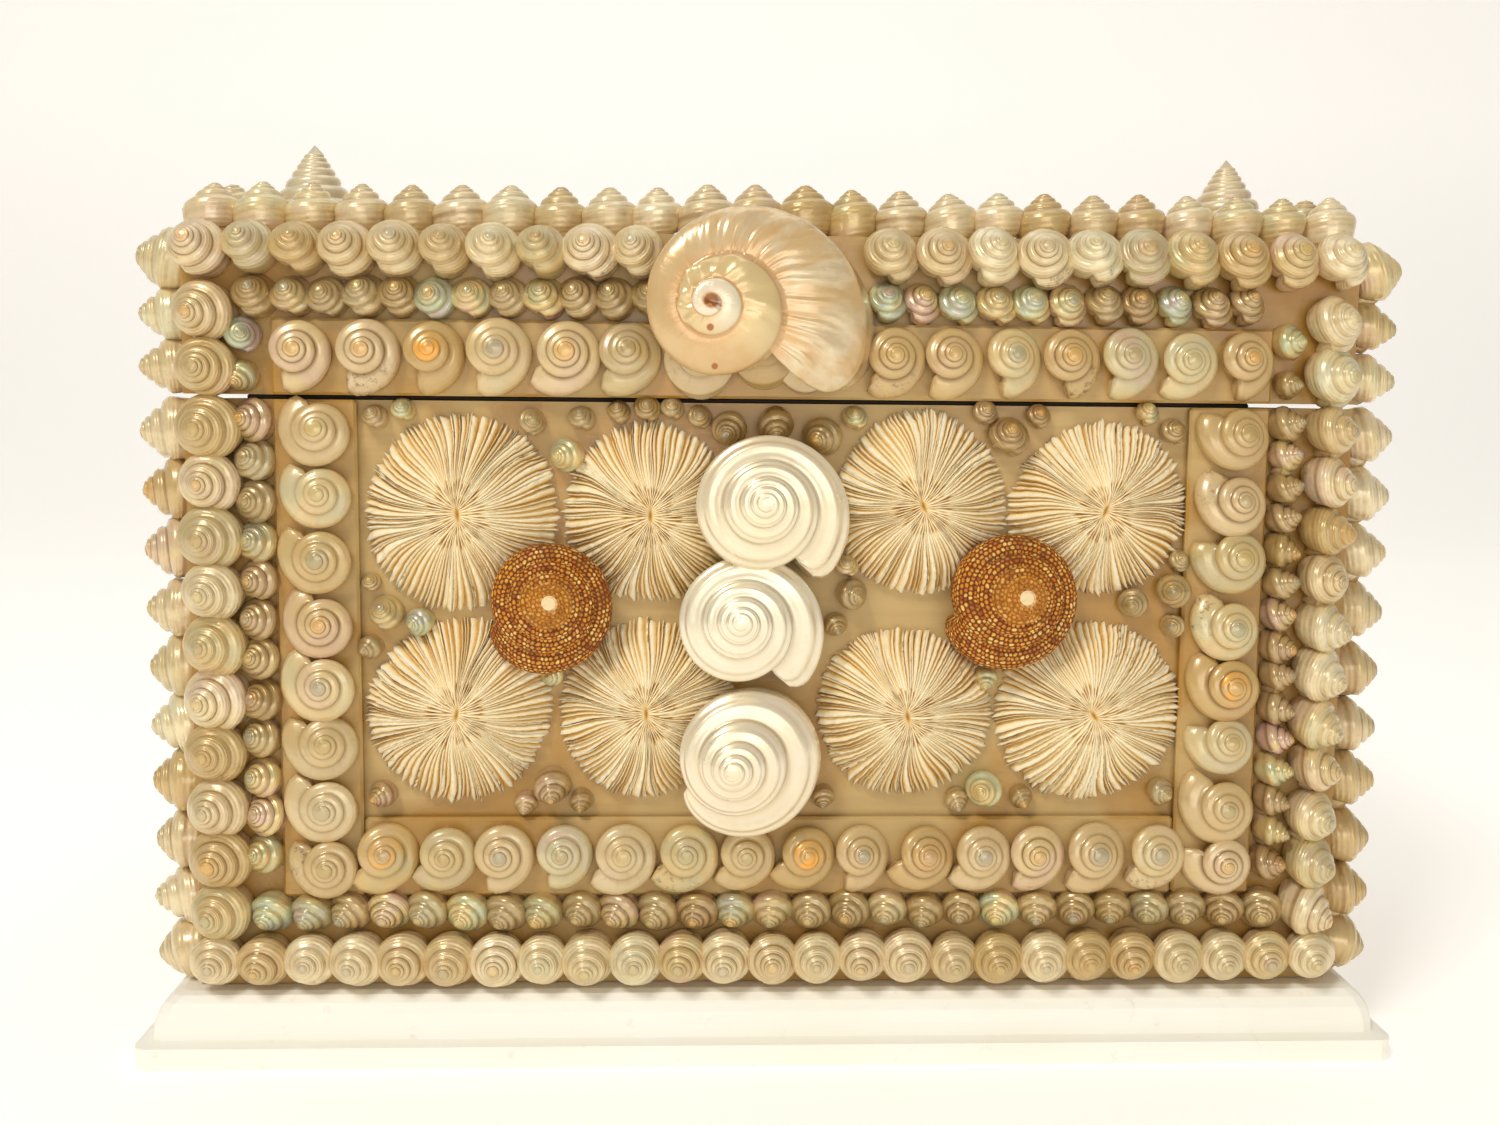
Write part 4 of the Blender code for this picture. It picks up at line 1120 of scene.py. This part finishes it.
turbanStyle = {
    "turns": 3, "rows": 16, "columns": 240, "baseRows": 12, "growth": 2.06, "slope": 0.30,
    "undercut": 0.16, "tuckIn": 0.10, "belly": 0.20, "shut": 0.35, "shutFrom": 0.07,
    "core": 0.40, "relief": turbanRelief, "sink": 0.0, "tipDepth": 14.0, "floor": 0.0004,
}
# Painted shade in the hole at the tip and in two pits: the pixel of each, how far it stands above the lid's
# front, and its radius.
turbanPitShades = (((711, 301), 0.0225, 0.0024), ((710, 328), 0.020, 0.0011), ((714, 367), 0.011, 0.0010))


def turbanFinish():
    # Nacre worn through a peach skin. Noise stretched across the coil mixes peach with silvery white,
    # most on the last turn. The older turn is yellower and the seams are peach. The hole at the tip
    # and two pits get painted shade, orange brown by their distance from named spots.
    made, tree, shader = newMaterial("turban_shell")
    here = objectPlace(tree)
    coil = add(tree, "SeparateXYZ", {"Vector": add(tree, "UVMap", uv_map="coil").outputs["UV"]})
    along, across = coil.outputs["X"], coil.outputs["Y"]
    spread = add(tree, "CombineXYZ", {
        "X": maths(tree, "MULTIPLY", along, 30.0), "Y": maths(tree, "MULTIPLY", across, 1.6),
    }).outputs["Vector"]
    streaks = noise(tree, spread, 1.0, 4.0, 0.6)
    clouds = noise(tree, here, 90.0, 3.0)
    late = remap(tree, along, 2.35, 2.65)
    silver = maths(tree, "ADD", maths(tree, "MULTIPLY", streaks, 0.6), maths(tree, "MULTIPLY", clouds, 0.6))
    silver = remap(tree, silver, 0.50, 0.72)
    base = blendColour(tree, remap(tree, clouds, 0.4, 0.65), (0.705, 0.485, 0.23), (0.65, 0.40, 0.155))
    older = maths(tree, "MULTIPLY", remap(tree, along, 1.0, 1.15), remap(tree, along, 1.95, 2.1, 1.0, 0.0))
    base = blendColour(tree, maths(tree, "MULTIPLY", older, 0.7), base, (0.80, 0.635, 0.315))
    base = blendColour(tree, remap(tree, along, 0.95, 1.2, 0.9, 0.0), base, (0.93, 0.82, 0.60))
    base = blendColour(tree, maths(tree, "MULTIPLY", silver, late), base, (0.80, 0.66, 0.42))
    fine = remap(tree, streaks, 0.52, 0.62, 0.0, 0.45)
    base = blendColour(tree, maths(tree, "MULTIPLY", fine, late), base, (0.58, 0.39, 0.20))
    seam = remap(tree, across, 0.0, 0.22, 1.0, 0.0)
    base = blendColour(tree, maths(tree, "MULTIPLY", seam, 0.60), base, (0.72, 0.38, 0.14))
    # Painted shade in the tip's hole and two pits.
    for pixel, height, size in turbanPitShades:
        spot = photoSpot(pixel, lidFaces["front"]["origin"][1] - height)
        across = add(tree, "VectorMath", {0: here, 1: tuple(spot)}, operation="SUBTRACT")
        flat = add(tree, "VectorMath", {0: across.outputs[0], 1: (1.0, 0.0, 1.0)}, operation="MULTIPLY")
        far = add(tree, "VectorMath", {0: flat.outputs[0]}, operation="LENGTH").outputs["Value"]
        pitShade = remap(tree, far, size * 0.6, size, 1.0, 0.0)
        base = blendColour(tree, pitShade, base, (0.42, 0.14, 0.02))
    tree.links.new(base, shader.inputs["Base Color"])
    shader.inputs["Metallic"].default_value = 0.20
    shader.inputs["Roughness"].default_value = 0.25
    shader.inputs["Coat Weight"].default_value = 0.7
    shader.inputs["Coat Roughness"].default_value = 0.10
    bump = add(tree, "Bump", {"Height": streaks, "Strength": 0.35, "Distance": 0.0006})
    tree.links.new(bump.outputs["Normal"], shader.inputs["Normal"])
    return made


turbanMaterial = turbanFinish()
turbanPlace = {"lip": -46, "width": 0.0522, "tip": (707, 301), "middle": (798, 306)}
showPiece(
    "turban_shell_coil", "turban_shell", lidFaces["front"], turbanStyle, turbanMaterial,
    "peach_turban", *turbanPlace.values(),
)

# Three shells of the lid's inner row show from under the large turban.
tucked = {
    "pixels": ((701, 370), (766, 364), (806, 366)), "middle": 0.002, "width": 0.0185,
    "rise": 0.0046, "lip": 100, "tipUp": 0.0055,
}
face = raised(lidFaces["front"], spanOf("frame_lid", lidFaces["front"])[1][2])
spots = np.array([tipSpot(pixel, face, tucked["middle"])[0] for pixel in tucked["pixels"]])
width, rise, lip = (tucked[key] for key in ("width", "rise", "lip"))
slanted = spots + [0, tucked["tipUp"]]
batch = coilShells(frameStyle, face, *spots.T, width, rise, 90, 0, lip, tip=slanted)
coilPiece("tucked_shells", [batch], frameShellMaterial, "nacre")
print("show shells made")

# Floor and light.


stageSheet = {"front": -3.0, "bendFrom": 1.1, "bend": 0.6, "top": 3.5, "half": 4.0, "glow": 0.36}


def makeStage(look):
    # A pale sheet that lies flat and sweeps up far behind, a quarter circle between the two.
    bend, half = look["bend"], look["half"]
    arc = np.linspace(0, math.pi / 2, 17)
    y = np.concatenate([[look["front"]], look["bendFrom"] + bend * np.sin(arc), [look["bendFrom"] + bend]])
    z = np.concatenate([[0.0], bend * (1 - np.cos(arc)), [look["top"]]])
    rows = len(y)
    points = np.array([[x, a, b] for x in (-half, half) for a, b in zip(y, z)])
    near = np.arange(rows - 1)
    quads = np.stack([near, near + rows, near + rows + 1, near + 1], -1)
    made, tree, shader = newMaterial("pale_sheet")
    soft = noise(tree, objectPlace(tree), 3.0, 2.0)
    base = blendColour(tree, soft, (0.92, 0.90, 0.86), (0.90, 0.875, 0.83))
    tree.links.new(base, shader.inputs["Base Color"])
    shader.inputs["Roughness"].default_value = 0.75
    shader.inputs["Emission Color"].default_value = (1.0, 0.97, 0.92, 1.0)
    shader.inputs["Emission Strength"].default_value = look["glow"]
    sheet = makeMesh("floor", points, quads, material=made)


lights = {
    # name: (place, aim, width and height, watts, colour)
    "key": ((-0.7, -1.1, 1.5), (0, 0, 0.12), (0.45, 0.45), 14.8, (1.0, 0.96, 0.90)),
    "fill": ((0.2, -1.65, 0.36), (0, 0, 0.06), (1.2, 0.5), 5.6, (1.0, 0.97, 0.93)),
    "top": ((0.1, 0.2, 1.7), (0, 0, 0.1), (1.4, 1.0), 5, (1.0, 0.98, 0.95)),
}


def softLight(name, spot, aim, size, power, colour):
    data = bpy.data.lights.new(name, "AREA")
    data.shape = "RECTANGLE"
    data.size, data.size_y = size
    data.energy = power
    data.color = colour
    lamp = bpy.data.objects.new(name, data)
    toward = (Matrix.Translation(aim).translation - Matrix.Translation(spot).translation).normalized()
    lamp.rotation_euler = toward.to_track_quat("-Z", "Y").to_euler()
    lamp.location = spot
    bpy.context.scene.collection.objects.link(lamp)


def makeLight():
    world = bpy.data.worlds.new("soft_room")
    world.use_nodes = True
    sky = world.node_tree.nodes["Background"]
    sky.inputs["Color"].default_value = (1.0, 0.975, 0.93, 1.0)
    sky.inputs["Strength"].default_value = 0.25
    bpy.context.scene.world = world
    for name, setting in lights.items():
        softLight(name, *setting)
    bpy.context.scene.view_settings.view_transform = "Standard"


makeStage(stageSheet)
makeLight()
print("stage and light set")

shown = [piece.data for piece in bpy.data.objects if piece.type == "MESH"]
faces = [sum(len(face.vertices) - 2 for face in mesh.polygons) for mesh in shown]
print("triangles in all", sum(faces), "and in the largest piece", max(faces))
